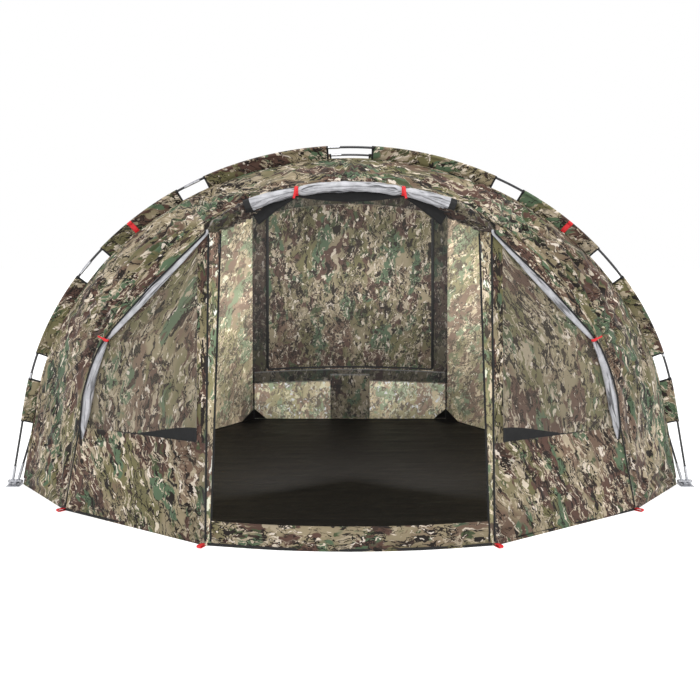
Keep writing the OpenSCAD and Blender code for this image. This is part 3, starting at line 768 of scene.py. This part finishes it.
def build_front_sides():
    for name, side in SIDES:
        z = np.linspace(0.0, WALL_H, 30)
        grid = facade_grid(z, np.zeros_like(z), np.ones_like(z), 44, side)
        panel(f"side_wall_cloth_{name}", f"side_wall_{name}", grid, ["camo", "camo_side_in"], 11 + side, ("ground",),
              turn=-28 * side, held_at=[grid[0, 0], grid[0, -1], grid[-1, 0]],
              billow=0.012, crease=0.010, pucker=0.004, grain=(3.0, 3.0, 7.0), slack=0.08)

        z = np.linspace(WALL_H, POST_TOP - 0.01, 80)
        line = window_line(z)
        edge = np.minimum(strip_share(z, STRIP_W), line)
        strip = facade_grid(z, np.zeros_like(z), edge, 6, side)
        mesh = facade_grid(z, edge, line, 46, side)
        top = z >= TIE_Z - 0.02
        corner = facade_grid(z[top], line[top], np.ones(top.sum()), 16, side)
        lift = 0.065 * (1 - smooth(np.linspace(0, 1, 47) / 0.62))     # the mesh's foot rises to the post
        foot = (1 - smooth((z - WALL_H) / 0.30))[:, None] * lift[None, :]
        mesh[..., 2] += foot
        cover = shell(f"window_mesh_cloth_{name}", mesh, ["camo_mesh"],
                      cloth_relief(mesh, 21 + side, billow=0.006, crease=0.003, grain=(4.0, 4.0, 1.5)), thickness=0.0012)
        fit_out(cover, SHELTER, [f"window_mesh_{name}"])
        for label, grid, seed in (("strip", strip, 31), ("corner", corner, 41)):
            piece = shell(f"window_{label}_{name}", grid, ["camo", "camo_side_in"],
                          cloth_relief(grid, seed + side, billow=0.003, crease=0.002, slack=0.05))
            fit_out(piece, SHELTER, [f"window_mesh_{name}"])
        low = np.linspace(0, 1, 5)[:, None]
        base = mesh[0] - np.array([0, 0, 1.0]) * lift[:, None]
        gap = base[None] * (1 - low[..., None]) + (mesh[0] + [0, 0, 0.004])[None] * low[..., None]
        gap = gap[:, :34]
        dark = shell(f"window_gap_mesh_{name}", gap, ["mesh_black"], thickness=0.0012)
        fit_out(dark, SHELTER)


def build_posts():
    for name, side in SIDES:
        z = np.linspace(0.0, POST_TOP, 90)
        grid = flip(ruled(post_inner(z), post_outer(z), 6), side)
        panel(f"post_cloth_{name}", f"post_{name}", grid, ["camo_pale", "camo_side_in"], 51 + side, ("header_cloth",),
              billow=0.004, crease=0.003, grain=(9.0, 9.0, 2.0), slack=0.03)
    f = np.linspace(-1, 1, 90)
    rows = []
    for z in np.linspace(0, SILL_H, 12):
        x = post_inner(z)[0]
        rows.append(np.stack([x * f, HUB_Y - mix(SILL_Y, POST_Y, f * f) + z * 0.12, np.full_like(f, z)], -1))
    grid = np.stack(rows)
    panel("sill_cloth", "sill", grid, ["camo", "camo_side_in"], 55, ("ground",), turn=90,
          billow=0.008, crease=0.006, grain=(3.0, 3.0, 8.0), slack=0.03)
    t = np.linspace(-DOOR_T, DOOR_T, 80)
    top = brow(t)
    grid = ruled(top, top + [0, -0.004, -0.040], 4)
    # The header is the darkened print on both faces: painted shade.
    panel("header_cloth", "header", grid, ["camo_dark", "camo_dark"], 57, FRONT_POLES, billow=0.0, crease=0.0, pucker=0.0)


LOW_BORDER = 0.192         # height share at which the back panel's double border ends


def build_back():
    # The insides of the back's top and borders are the darkened print: painted shade.
    specs = (
        ("back_top_cloth", "back_top", (-1, 1), (PANEL_HIGH, 1), 70, 22, ["camo", "camo_dark"]),
        ("back_border_cloth_left", "back_border_left", (-1, -PANEL_F), (PANEL_LOW, PANEL_HIGH), 8, 60, ["camo", "camo_dark"]),
        ("back_border_cloth_right", "back_border_right", (PANEL_F, 1), (PANEL_LOW, PANEL_HIGH), 8, 60, ["camo", "camo_dark"]),
        ("back_panel_cloth", "back_panel", (-PANEL_F, PANEL_F), (PANEL_LOW, PANEL_HIGH), 66, 66, ["camo", "camo_panel_in"]),
        ("back_low_border", "back_lower", (-1, 1), (LOW_BORDER, PANEL_LOW), 70, 8, ["camo", "camo_dark"]),
        ("back_lower_cloth", "back_lower", (-1, 1), (0, LOW_BORDER), 70, 24, ["camo", "camo_back_in"]),
    )
    for k, (name, node, fs, hs, cols, rows, materials) in enumerate(specs):
        f, h = np.meshgrid(np.linspace(*fs, cols), np.linspace(*hs, rows), indexing="ij")
        panel(name, node, back(f, h), materials, 61 + k, REAR_POLES, turn=90,
              billow=0.006, crease=0.005, grain=(4.0, 2.0, 2.0))
    for name, side in SIDES:
        t = np.linspace(BACK_T, 0.988, 100)
        share = ((t - BACK_T) / (1 - BACK_T))[:, None]
        hem = np.array([BACK_X, HUB_Y + BACK_Y, 0.0]) * (1 - share) + rear_ridge(1.0) * [1, 1, 0] * share
        grid = flip(ruled(hem, rear_ridge(t), 70), side)
        panel(f"back_side_cloth_{name}", f"back_side_{name}", grid, ["camo", "camo_side_in"], 71 + side, REAR_POLES, turn=70 * side,
              billow=0.014, crease=0.008, grain=(2.0, 3.0, 2.0))
    # A patch over the back's low middle in the darkened print: painted shade.
    f, h = np.meshgrid(np.linspace(-0.2, 0.2, 16), np.linspace(0.01, PANEL_LOW - 0.02, 18), indexing="ij")
    grid = back(f, h) - [0, 0.006, 0.004]
    piece = shell("back_vent_patch", grid, ["camo_double"], cloth_relief(grid, 77, crease=0.002), turn=90)
    fit_out(piece, SHELTER)


def build_groundsheet():
    """One cut sheet that lies flat to the hems, in fine creases across the door."""
    inset = 0.002
    outline_y = np.array([-SILL_Y, -POST_Y, -PEG_Y, 0.0, BACK_Y]) + np.array([inset, inset, inset, 0, -inset])
    outline_x = np.array([0.04, POST_X - inset, PEG_X - inset, rear_ridge(1.0)[0] - 2 * inset, BACK_X - inset])
    y = np.linspace(outline_y[0], outline_y[-1], 170)
    half = np.interp(y, outline_y, outline_x)
    f = np.linspace(-1, 1, 120)
    shape = (170, 120)
    grid = np.stack([half[:, None] * f, np.broadcast_to(HUB_Y + y[:, None], shape), np.full(shape, 0.002)], -1)
    ripple = np.abs(sampled(grid, (1.1, 9.0, 1.0), 83, 3)) * 0.010 + np.abs(sampled(grid, (4.0, 4.0, 1.0), 85, 2)) * 0.004
    held = smooth(edge_room(grid) / 0.05)
    turned_up = 0.012 * (1 - smooth(edge_room(grid) / 0.012))
    piece = shell("groundsheet_laminate", grid, ["floor"], ripple * held + turned_up,
                  centre=np.array([0, HUB_Y, -5.0]), thickness=0.0016)
    fit_out(piece, SHELTER, ["groundsheet"])


def build_gussets():
    """Corner pieces dark like the groundsheet, whose colour carries painted shade, where the back's side seams meet the
    groundsheet.
    """
    pieces = []
    for side in (-1, 1):
        corner = back(side * 0.985, 0.004) - [0, 0.01, 0]
        over = back(side * 0.98, 0.055) - [0, 0.012, 0]
        across = back(side * 0.86, 0.004) - [0, 0.012, 0]
        aside = corner + np.array([side * 0.08, -0.15, 0])
        rows = np.stack([np.stack([mix(over, a, s) for a in (aside, corner, across)]) for s in np.linspace(0.02, 1, 7)])
        fine = np.concatenate([ruled(rows[:, 0], rows[:, 1], 6), ruled(rows[:, 1], rows[:, 2], 6)[:, 1:]], 1)
        fine[..., 2] += 0.006
        pieces.append(shell(f"gusset_{side}", fine, ["floor"], thickness=0.0016))
    fit_out(joined("corner_gussets", pieces), SHELTER)


# ---------------------------------------------------------------- seams, hems and zips
def tape(name, path, width, height, material, out):
    """A flat band along a path that lies against a surface whose outward direction is out."""
    return swept(name, path, lambda i: box_profile(width, height), [material], up=out)


def build_seams():
    """Felled seams as low ridges of the canopy's own cloth, and black bindings."""
    pieces = []
    t = np.linspace(-0.985, 0.985, 200)
    seams = ((front_ridge(t), (0, -1, 1)), (rear_ridge(t), (0, 1, 1)), (brow(t), (0, -1, 0.4)))
    for k, (line, out) in enumerate(seams):
        lift = line - INSIDE
        lift /= np.linalg.norm(lift, axis=1, keepdims=True)
        pieces.append(tape(f"seam_{k}", line + lift * 0.002, 0.012, 0.005, "camo", out))
    for side in (-1, 1):
        h = np.linspace(0, 1, 60)
        line = back(np.full_like(h, side), h) + [side * 0.002, 0.002, 0.002]
        pieces.append(tape("seam_back", line, 0.012, 0.005, "camo", (side, 1, 0.3)))
    for k, h in enumerate((PANEL_LOW, PANEL_HIGH)):
        f = np.linspace(-1, 1, 40)
        line = back(f, np.full_like(f, h)) + [0, 0.003, 0.003]
        pieces.append(tape(f"seam_back_{k}", line, 0.012, 0.004, "camo", (0, 1, 0.6)))
    fit_out(joined("canopy_seams", pieces), SHELTER)

    pieces = []
    for side in (-1, 1):
        h = np.linspace(0.01, PANEL_LOW + 0.02, 16)
        line = back(np.full_like(h, side * 0.985), h) - [0, 0.006, 0.004]
        pieces.append(tape("corner", line, 0.010, 0.006, "binding", (0, -1, 0)))
    fit_out(joined("back_corner_bindings", pieces), SHELTER)

    pieces = []
    for side in (-1, 1):
        front = [[0, -SILL_Y], [0.33, -SILL_Y + (SILL_Y - POST_Y) * 0.25], [POST_X - 0.02, -POST_Y], [PEG_X, -PEG_Y],
                 [rear_ridge(1.0)[0], 0.0], [BACK_X, BACK_Y], [0, BACK_Y]]
        line = np.array([[side * x, HUB_Y + y, 0.007] for x, y in front])
        runs = [np.linspace(a, b, 24, endpoint=False) for a, b in zip(line[:-1], line[1:])]
        dense = np.concatenate(runs + [line[-1:]])
        outward = dense - [0, HUB_Y + 0.3, 0.007]
        dense = dense + outward / np.linalg.norm(outward, axis=1, keepdims=True) * 0.002
        pieces.append(swept("hem", dense, lambda i: box_profile(0.005, 0.013), ["binding"], up=(0, 0, 1)))
        z = np.linspace(0.02, WALL_H + 0.01, 20)
        edge = flip(brow(brow_share(z)), side) + [side * 0.002, -0.004, 0]
        pieces.append(tape("edge_binding", edge, 0.008, 0.004, "binding", (side * 0.5, -1, 0)))
    fit_out(joined("hem_binding", pieces), SHELTER)


def zip_run(name, path, out, width=0.010):
    """A zip: woven tape with a raised, ribbed coil down its middle."""
    coil_r = 0.0022
    out = np.asarray(out, float) / np.linalg.norm(out)
    band = swept(name + "_tape", path, lambda i: box_profile(width, 0.0016), ["zip_tape"], up=out)
    room = np.concatenate([[0], np.cumsum(np.linalg.norm(np.diff(path, axis=0), axis=1))])
    s = np.linspace(0, room[-1], int(room[-1] / 0.005))
    fine = np.stack([np.interp(s, room, path[:, k]) for k in range(3)], -1) + out * 0.0018
    coil = swept(name + "_coil", fine, lambda i: circle(coil_r * (1.12 if i % 2 else 0.86), 6), ["zip_tape"], up=out)
    return [band, coil]


def build_zips():
    pieces = []
    front = np.array([0.0, -1.0, 0.15])
    z = np.linspace(0.02, POST_TOP - 0.03, 60)
    for name, side in SIDES:
        for label, line, inward in (("door", post_inner(z), 0.003), ("window", post_outer(z), -0.003)):
            path = flip(line + [inward, -0.0045, 0], side)
            pieces += zip_run(f"{label}_zip_{name}", path, front)
    fit_out(joined("front_zips", pieces), SHELTER, ["zip_tapes"])

    edge = PANEL_F - 0.012
    h = np.linspace(PANEL_LOW + 0.03, PANEL_HIGH - 0.01, 60)
    f = np.linspace(-edge + 0.02, edge - 0.02, 50)
    turn = np.linspace(0, math.pi / 2, 8)[1:-1]
    low = PANEL_LOW + 0.012
    left = [back(-edge, v) for v in h[::-1]]
    left += [back(-edge + 0.02 * (1 - math.cos(q)), mix(h[0], low, math.sin(q))) for q in turn]
    across = [back(v, low) for v in f]
    right = [p * [-1, 1, 1] for p in left[::-1]]
    path = np.array(left + across + right) + [0, -0.006, -0.005]
    fit_out(joined("back_zip_run", zip_run("back_zip_u", path, (0, -1, -0.9), 0.019)), SHELTER, ["back_zip"])


def slider_shape(name, at, along, out):
    """A zip slider: a waisted body, its bridge and a hanging pull tab."""
    mesh = bmesh.new()
    along, out = Vector(along).normalized(), Vector(out).normalized()
    side = along.cross(out).normalized()
    at = Vector(at)

    def block(centre, size, taper=1.0):
        made = bmesh.ops.create_cube(mesh, size=1.0)["verts"]
        for v in made:
            wide = mix(1.0, taper, v.co.y + 0.5)
            x, y, z = v.co.x * size[0] * wide, v.co.y * size[1], v.co.z * size[2]
            v.co = at + side * (centre[0] + x) + along * (centre[1] + y) + out * (centre[2] + z)

    block((0, 0.010, 0.000), (0.011, 0.020, 0.0050), 0.62)
    block((0, 0.010, 0.005), (0.003, 0.012, 0.0022))
    block((0, 0.030, 0.006), (0.007, 0.026, 0.0016), 1.3)
    bmesh.ops.bevel(mesh, geom=list(mesh.edges), offset=0.0006, segments=2, affect="EDGES")
    data = bpy.data.meshes.new(name)
    mesh.to_mesh(data)
    mesh.free()
    data.materials.append(MAT["slider"])
    piece = bpy.data.objects.new(name, data)
    bpy.context.scene.collection.objects.link(piece)
    return piece


def build_sliders():
    for name, side in SIDES:
        for label, out in (("door", (0, -1, 0.15)), ("back", (0, -1, -0.9))):
            node = f"{label}_slider_{name}"
            lo, hi = (np.array(c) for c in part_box(node))
            joint = next(j for j in frame["joints"] if j["child"] == node)
            along = np.array(joint["axis"]) * (1 if label == "door" else -1)
            piece = slider_shape(f"{label}_zip_slider_{name}", (lo + hi) / 2 - along * 0.014, along, out)
            fit_out(piece, node, [node])


# ---------------------------------------------------------------- rolls, ties and loops
def crumple(i, points, seed, amount):
    """Irregular folds round a rolled bundle's outline."""
    q = np.arctan2(points[:, 1], points[:, 0])
    around = np.stack([np.cos(q) * 2.0, np.sin(q) * 2.0, np.full_like(q, i * 0.09)], -1)
    return points * (1 + amount * sampled(around, (1, 1, 1), seed, 3))[:, None]


ROLL_AT, ROLL_R = np.array([0.0, -0.041, -0.022]), 0.027


def build_door_roll():
    t = np.linspace(-ROLL_T, ROLL_T, 130)
    path = brow(t) + ROLL_AT
    tied = 1 - 0.34 * np.exp(-((np.abs(t) - TIE_T) / 0.010) ** 2)
    radius = (ROLL_R + 0.007 * smooth((np.abs(t) - 0.12) / 0.08)) * tied

    def outline(i):
        p = circle(radius[i], 34, 0.88)
        q = np.arctan2(p[:, 1], p[:, 0])
        lip = smooth(1 - np.abs(q + 1.7 + 0.25 * math.sin(i * 0.06)) / 0.30) + smooth(1 - np.abs(q + 2.6) / 0.2)
        return crumple(i, p, 91, 0.20) * (1 + 0.005 * lip / radius[i])[:, None]

    ends = 4
    roll = swept("door_roll_grey", path, outline, ["grey", "binding"],
                 pick=lambda i, j: 1 if i < ends or i >= len(path) - 1 - ends else 0)
    fit_out(roll, SHELTER, ["door_roll"])

    t = np.linspace(-0.190, 0.190, 130)
    a = np.abs(t)
    drop = np.where(a < TIE_T, 0.047 * np.clip(1 - (a / TIE_T) ** 2, 0, 1), 0.078 * (a - TIE_T) / (0.180 - TIE_T))
    path = brow(t) + [0, -0.006, -0.044] - np.stack([0 * t, 0 * t, drop / 2], -1)
    wide, high = circle(0.013, 20)[:, 0], circle(1.0, 20)[:, 1]
    bundle = swept("door_mesh_bundle", path,
                   lambda i: crumple(i, np.stack([wide, high * (drop[i] / 2 + 0.006)], -1), 95, 0.10), ["mesh_black"])
    fit_out(bundle, SHELTER, ["door_mesh_roll"])

    for name, side in SIDES:
        knots = [[0.425, 0.004, 1.612], [0.500, -0.004, 1.592], [0.590, -0.008, 1.552],
                 [0.668, -0.004, 1.508], [0.712, 0.004, 1.478]]
        depth = brow(DOOR_T)[1]
        path = smoothed_path([[side * x, depth + y - 0.018, z] for x, y, z in knots], 56)
        size = np.interp(np.linspace(0, 1, 56), [0, 0.10, 0.35, 0.60, 0.85, 1], [0.012, 0.040, 0.058, 0.054, 0.038, 0.008])
        # The gathered door ends are the darkened print: painted shade.
        lump = swept(f"door_cloth_end_{name}", path, lambda i: crumple(i * 2.4, circle(size[i], 40, 0.75), 101 + side, 0.36),
                     ["camo_double"])
        fit_out(lump, SHELTER)
        q = np.linspace(-0.9, 1.6, 56)
        edge = path + np.stack([0 * q, -np.cos(q) * size * 0.80, np.sin(q * 1.3) * size * 0.80], -1)
        lip = swept(f"door_cloth_end_edge_{name}", smoothed_path(edge[4:-4], 48), lambda i: circle(0.0045, 8), ["binding"])
        fit_out(lip, SHELTER)


def ring_band(name, at, along, radius, width, material, squeeze=0.9):
    """A band of webbing wrapped once round a roll."""
    along = np.asarray(along, float) / np.linalg.norm(along)
    q = np.linspace(0, 2 * math.pi, 33)[:-1]
    side = np.cross(along, [0, 0, 1.0])
    side /= np.linalg.norm(side)
    up = np.cross(side, along)
    centre = np.asarray(at)[None] + radius * (np.cos(q)[:, None] * side + squeeze * np.sin(q)[:, None] * up)
    outwards = centre - np.asarray(at)
    outwards /= np.linalg.norm(outwards, axis=1, keepdims=True)
    points, faces = [], []
    for p, o in zip(centre, outwards):
        points += [p + along * x * width / 2 + o * y for x, y in ((-1, 0), (1, 0), (1, 0.0022), (-1, 0.0022))]
    n = len(q)
    for i in range(n):
        for j in range(4):
            k = (i + 1) % n
            faces.append((i * 4 + j, i * 4 + (j + 1) % 4, k * 4 + (j + 1) % 4, k * 4 + j))
    return mesh_object(name, points, faces, [material])


def build_ties():
    pieces = []
    for side in (-1, 1):
        at = brow(side * TIE_T) + ROLL_AT
        pieces.append(ring_band("tie", at, (1, 0, 0), ROLL_R * 0.84, 0.020, "red"))
        drop = smoothed_path([at + [side * 0.002, -0.024, 0.014], at + [side * 0.006, -0.028, -0.010],
                              at + [side * 0.012, -0.024, -0.036]], 12)
        pieces.append(swept("tie_tail", drop, lambda i: box_profile(0.012, 0.002), ["red"], up=(0, -1, 0)))
        hang = smoothed_path([brow(side * TIE_T) + [0, -0.003, 0.004], at + [0, -0.012, 0.025],
                              at + [0, -0.022, 0.014]], 8)
        pieces.append(swept("tie_head", hang, lambda i: box_profile(0.014, 0.002), ["red"], up=(0, -1, 0)))
    fit_out(joined("door_tie_bands", pieces), SHELTER, ["door_ties"])

    pieces = []
    for side in (-1, 1):
        at, below = (flip(cover_point(np.array(z), 0.020), side) for z in (TIE_Z, TIE_Z - 0.02))
        pieces.append(ring_band("tie", at, below - at, 0.0135, 0.014, "red"))
        hook = at + np.array([[side * 0.040, 0.002, 0.016], [side * 0.014, -0.014, 0.006], [-side * 0.018, -0.016, -0.004]])
        pieces.append(swept("toggle", smoothed_path(hook, 14), lambda i: circle(0.0042, 10), ["red"]))
    fit_out(joined("window_tie_bands", pieces), SHELTER, ["window_ties"])


def build_window_covers():
    z = np.linspace(COVER_FOOT, COVER_TOP + 0.030, 110)
    middle = mix(COVER_FOOT, TIE_Z, 0.45)
    size = np.interp(z, [COVER_FOOT, COVER_FOOT + 0.07, middle, TIE_Z - 0.05, TIE_Z, TIE_Z + 0.05,
                         mix(TIE_Z, COVER_TOP, 0.5), COVER_TOP + 0.03],
                     [0.004, 0.018, 0.028, 0.018, 0.011, 0.016, 0.022, 0.008])
    for name, side in SIDES:
        path = flip(cover_point(z, size * 0.62 + 0.006), side)
        roll = swept(f"window_cover_{name}", path, lambda i: crumple(i * 0.9, circle(size[i], 26, 0.55), 111 + side, 0.24),
                     ["grey"], up=(side * 0.3, -1, 0))
        fit_out(roll, SHELTER, [f"window_roll_{name}"])
        aside = np.stack([side * (size * 0.98 + 0.001), -0.007 + 0 * size, 0 * size], -1)
        lip = swept(f"window_cover_edge_{name}", path + aside, lambda i: circle(0.0045, 8), ["binding"], up=(side * 0.3, -1, 0))
        fit_out(lip, SHELTER)


def build_loops():
    """Red peg loops at the hems, and the dark straps from the pivots to the canopy's corners."""
    spots = [(POST_X + 0.006, -POST_Y - 0.006, 1, -65), (PEG_X + 0.004, -PEG_Y - 0.004, 1, -45),
             (BACK_X + 0.004, BACK_Y + 0.004, 1, 45)]
    pieces = []
    for side in (-1, 1):
        for x, y, _, turn in spots:
            a = math.radians(turn)
            way = np.array([side * math.cos(a), math.sin(a), 0.0])
            at = np.array([side * x, HUB_Y + y, 0.0])
            tip = [at + way * (0.034 + 0.006 * math.sin(q)) + [0, 0, 0.0075 - 0.0055 * math.cos(q)]
                   for q in np.linspace(0, math.pi, 9)]
            path = np.array([at - way * 0.004 + [0, 0, 0.0020], at + way * 0.018 + [0, 0, 0.0020]] + tip
                            + [at + way * 0.018 + [0, 0, 0.0125], at - way * 0.004 + [0, 0, 0.0115]])
            across = np.cross(way, [0, 0, 1.0])
            along = np.gradient(path, axis=0)
            along /= np.linalg.norm(along, axis=1, keepdims=True)
            side_dir = np.broadcast_to(across, path.shape)
            pieces.append(swept("loop", path, lambda i: box_profile(0.024, 0.0022), ["red"],
                                place=(side_dir, np.cross(side_dir, along))))
    fit_out(joined("peg_loop_webbing", pieces), SHELTER, ["peg_loops"])

    pieces = []
    for side in (-1, 1):
        x = HALF_SPAN - 0.060
        path = smoothed_path([[side * x, HUB_Y - 0.004, 0.012], [side * (x + 0.02), HUB_Y - 0.014, 0.014],
                              [side * (x + 0.034), HUB_Y - 0.016, 0.010]], 14)
        pieces.append(swept("tether", path, lambda i: box_profile(0.012, 0.002), ["black_web"]))
    fit_out(joined("hub_tethers", pieces), SHELTER)


# ---------------------------------------------------------------- pole sleeves
SLEEVE_STRETCHES = ((0.115, 0.800), (0.960, 1.500), (1.710, 2.240), (2.400, 2.680))


def sleeve_profile(thick):
    """A web with a tube at its outer edge; x runs inwards from the pole."""
    q = np.linspace(math.radians(160), math.radians(-160), 15)
    tube = np.stack([-0.0098 * np.cos(q), 0.0098 * np.sin(q)], -1)
    return np.concatenate([[[SLEEVE_W + 0.002, -thick], [SLEEVE_W * 0.6, -thick], [0.014, -thick * 1.6]],
                           tube * [1, -1], [[0.014, thick * 1.6], [SLEEVE_W * 0.6, thick], [SLEEVE_W + 0.002, thick]]])


def arch_frame(outline, angle, d):
    """Points of a pole's middle with the direction inwards and the direction across the arch."""
    p = outline.along(d)
    step = outline.along(d + 1e-4) - outline.along(d - 1e-4)
    step /= np.linalg.norm(step, axis=1, keepdims=True)
    inward = np.stack([step[:, 1], -step[:, 0]], -1)
    a = math.radians(angle)

    def turned(q):
        return np.stack([q[:, 0], -q[:, 1] * math.sin(a), q[:, 1] * math.cos(a)], -1)

    across = np.broadcast_to(np.array([0, math.cos(a), math.sin(a)]), (len(d), 3))
    return lean(p, angle, 0, PIVOT_Z), turned(inward), across


def build_sleeves():
    for name, body, outline, angle in (("front", FRONT, FRONT_ARCH, FRONT_LEAN), ("rear", REAR, REAR_ARCH, REAR_LEAN)):
        pieces, base = [], sleeve_profile(0.0014)
        for side in (-1, 1):
            for d0, d1 in SLEEVE_STRETCHES:
                n = int((d1 - d0) / 0.010)
                d = side * np.linspace(d0, d1, n)
                path, inward, across = arch_frame(outline, angle, d)
                wave = sampled(path, (9, 9, 9), 121, 2) * 0.0035
                flutter = sampled(path, (26, 26, 26), 123, 1) * 0.0012

                def outline_at(i, wave=wave, flutter=flutter):
                    q = base.copy()
                    belly = np.clip(q[:, 0] / SLEEVE_W, 0, 1)
                    q[:, 1] += (wave[i] * np.sin(math.pi * belly) + flutter[i] * belly * (1 - belly) * 4)
                    return q

                ends = 1
                pieces.append(swept("sleeve", path, outline_at, ["camo", "binding"], place=(inward, across), turn=35,
                                    pick=lambda i, j, n=n: 1 if i < ends or i >= n - 1 - ends else 0))
        sleeve = fit_out(joined(f"{name}_sleeve_cloth", pieces), body, [f"{name}_sleeves"], folds=False)
    straps, base = [], sleeve_profile(0.0026) * [1, 1.25]
    for side in (-1, 1):
        d = side * np.linspace(1.265, 1.293, 5)
        path, inward, across = arch_frame(FRONT_ARCH, FRONT_LEAN, d)
        straps.append(swept("strap", path, lambda i: base, ["red"], place=(inward, across)))
    fit_out(joined("shoulder_straps", straps), FRONT, folds=False)


# ---------------------------------------------------------------- carried-over frame pieces
def finish_frame():
    looks = {"hub_left": "metal", "hub_right": "metal", "hub_pins": "slider"}
    for arch in ("front", "rear"):
        looks[f"{arch}_sockets"] = looks[f"{arch}_ferrules"] = "metal"
        looks[f"{arch}_shock_cord"] = "elastic"
        for k in range(1, 9):
            looks[f"{arch}_pole_{k}"] = "pole"
    for node, look in looks.items():
        for place in frame["nodes"][node].material_slots:
            place.material = MAT[look]


# ---------------------------------------------------------------- stage, light and camera
def build_stage():
    """A white floor that glows a little, so that it meets the white surround without an edge."""
    bpy.ops.mesh.primitive_plane_add(size=80, location=(0, 0, -0.0005))
    ground = bpy.context.object
    ground.name = "stage_floor"
    m = Nodes("stage_floor", 0.9)
    tone = m.noise(m.place, 0.6, 2.0)
    m.colour(m.blend(tone, linear((228, 228, 228)), linear((234, 234, 234))))
    m.shader.inputs["Specular IOR Level"].default_value = 0.0
    m.shader.inputs["Emission Color"].default_value = (1, 1, 1, 1)
    m.shader.inputs["Emission Strength"].default_value = 0.55
    ground.data.materials.append(m.material)


def area_light(name, at, aim, size, power, seen=True):
    data = bpy.data.lights.new(name, "AREA")
    data.size, data.energy = size, power
    lamp = bpy.data.objects.new(name, data)
    lamp.location = at
    lamp.rotation_euler = (Vector(aim) - Vector(at)).to_track_quat("-Z", "Y").to_euler()
    lamp.visible_camera = seen
    bpy.context.scene.collection.objects.link(lamp)


def build_light():
    """Soft daylight all round, and inside the light that thin cloth lets through."""
    scene = bpy.context.scene
    world = bpy.data.worlds.new("studio")
    world.use_nodes = True
    world.node_tree.nodes["Background"].inputs["Color"].default_value = (1, 1, 1, 1)
    world.node_tree.nodes["Background"].inputs["Strength"].default_value = 1.0
    scene.world = world
    scene.view_settings.view_transform = "Standard"
    area_light("key", (-0.3, HUB_Y - 5.4, 6.4), (0, HUB_Y, 1.1), 1.6, 165)
    area_light("top", (0.9, HUB_Y - 1.2, 7.0), (0, HUB_Y, 0.5), 3.0, 150)
    area_light("inside", (0, HUB_Y - 0.25, 1.50), (0, HUB_Y + 1.4, 0.50), 1.0, 7, seen=False)
    for side in (-1, 1):
        area_light(f"inside_{side}", (side * 0.30, HUB_Y - 0.1, 0.62), (side * 1.2, HUB_Y + 1.5, 0.50), 0.6, 30, seen=False)


def build_camera():
    """Level, at eye height ahead of the door, with the lens lowered as the picture's framing has it."""
    data = bpy.data.cameras.new("camera")
    data.lens, data.sensor_width = 47.3, 36.0
    data.shift_y = -0.156
    camera = bpy.data.objects.new("camera", data)
    camera.location = (0.0, HUB_Y - 5.40, 1.41 + PIVOT_Z)
    camera.rotation_euler = (math.pi / 2, 0, 0)
    bpy.context.scene.collection.objects.link(camera)
    bpy.context.scene.camera = camera


build_camera()
build_stage()
build_light()
build_roof()
build_brow()
build_front_sides()
build_posts()
build_back()
build_groundsheet()
build_gussets()
build_seams()
build_zips()
build_sliders()
build_door_roll()
build_window_covers()
build_ties()
build_loops()
build_sleeves()
finish_frame()
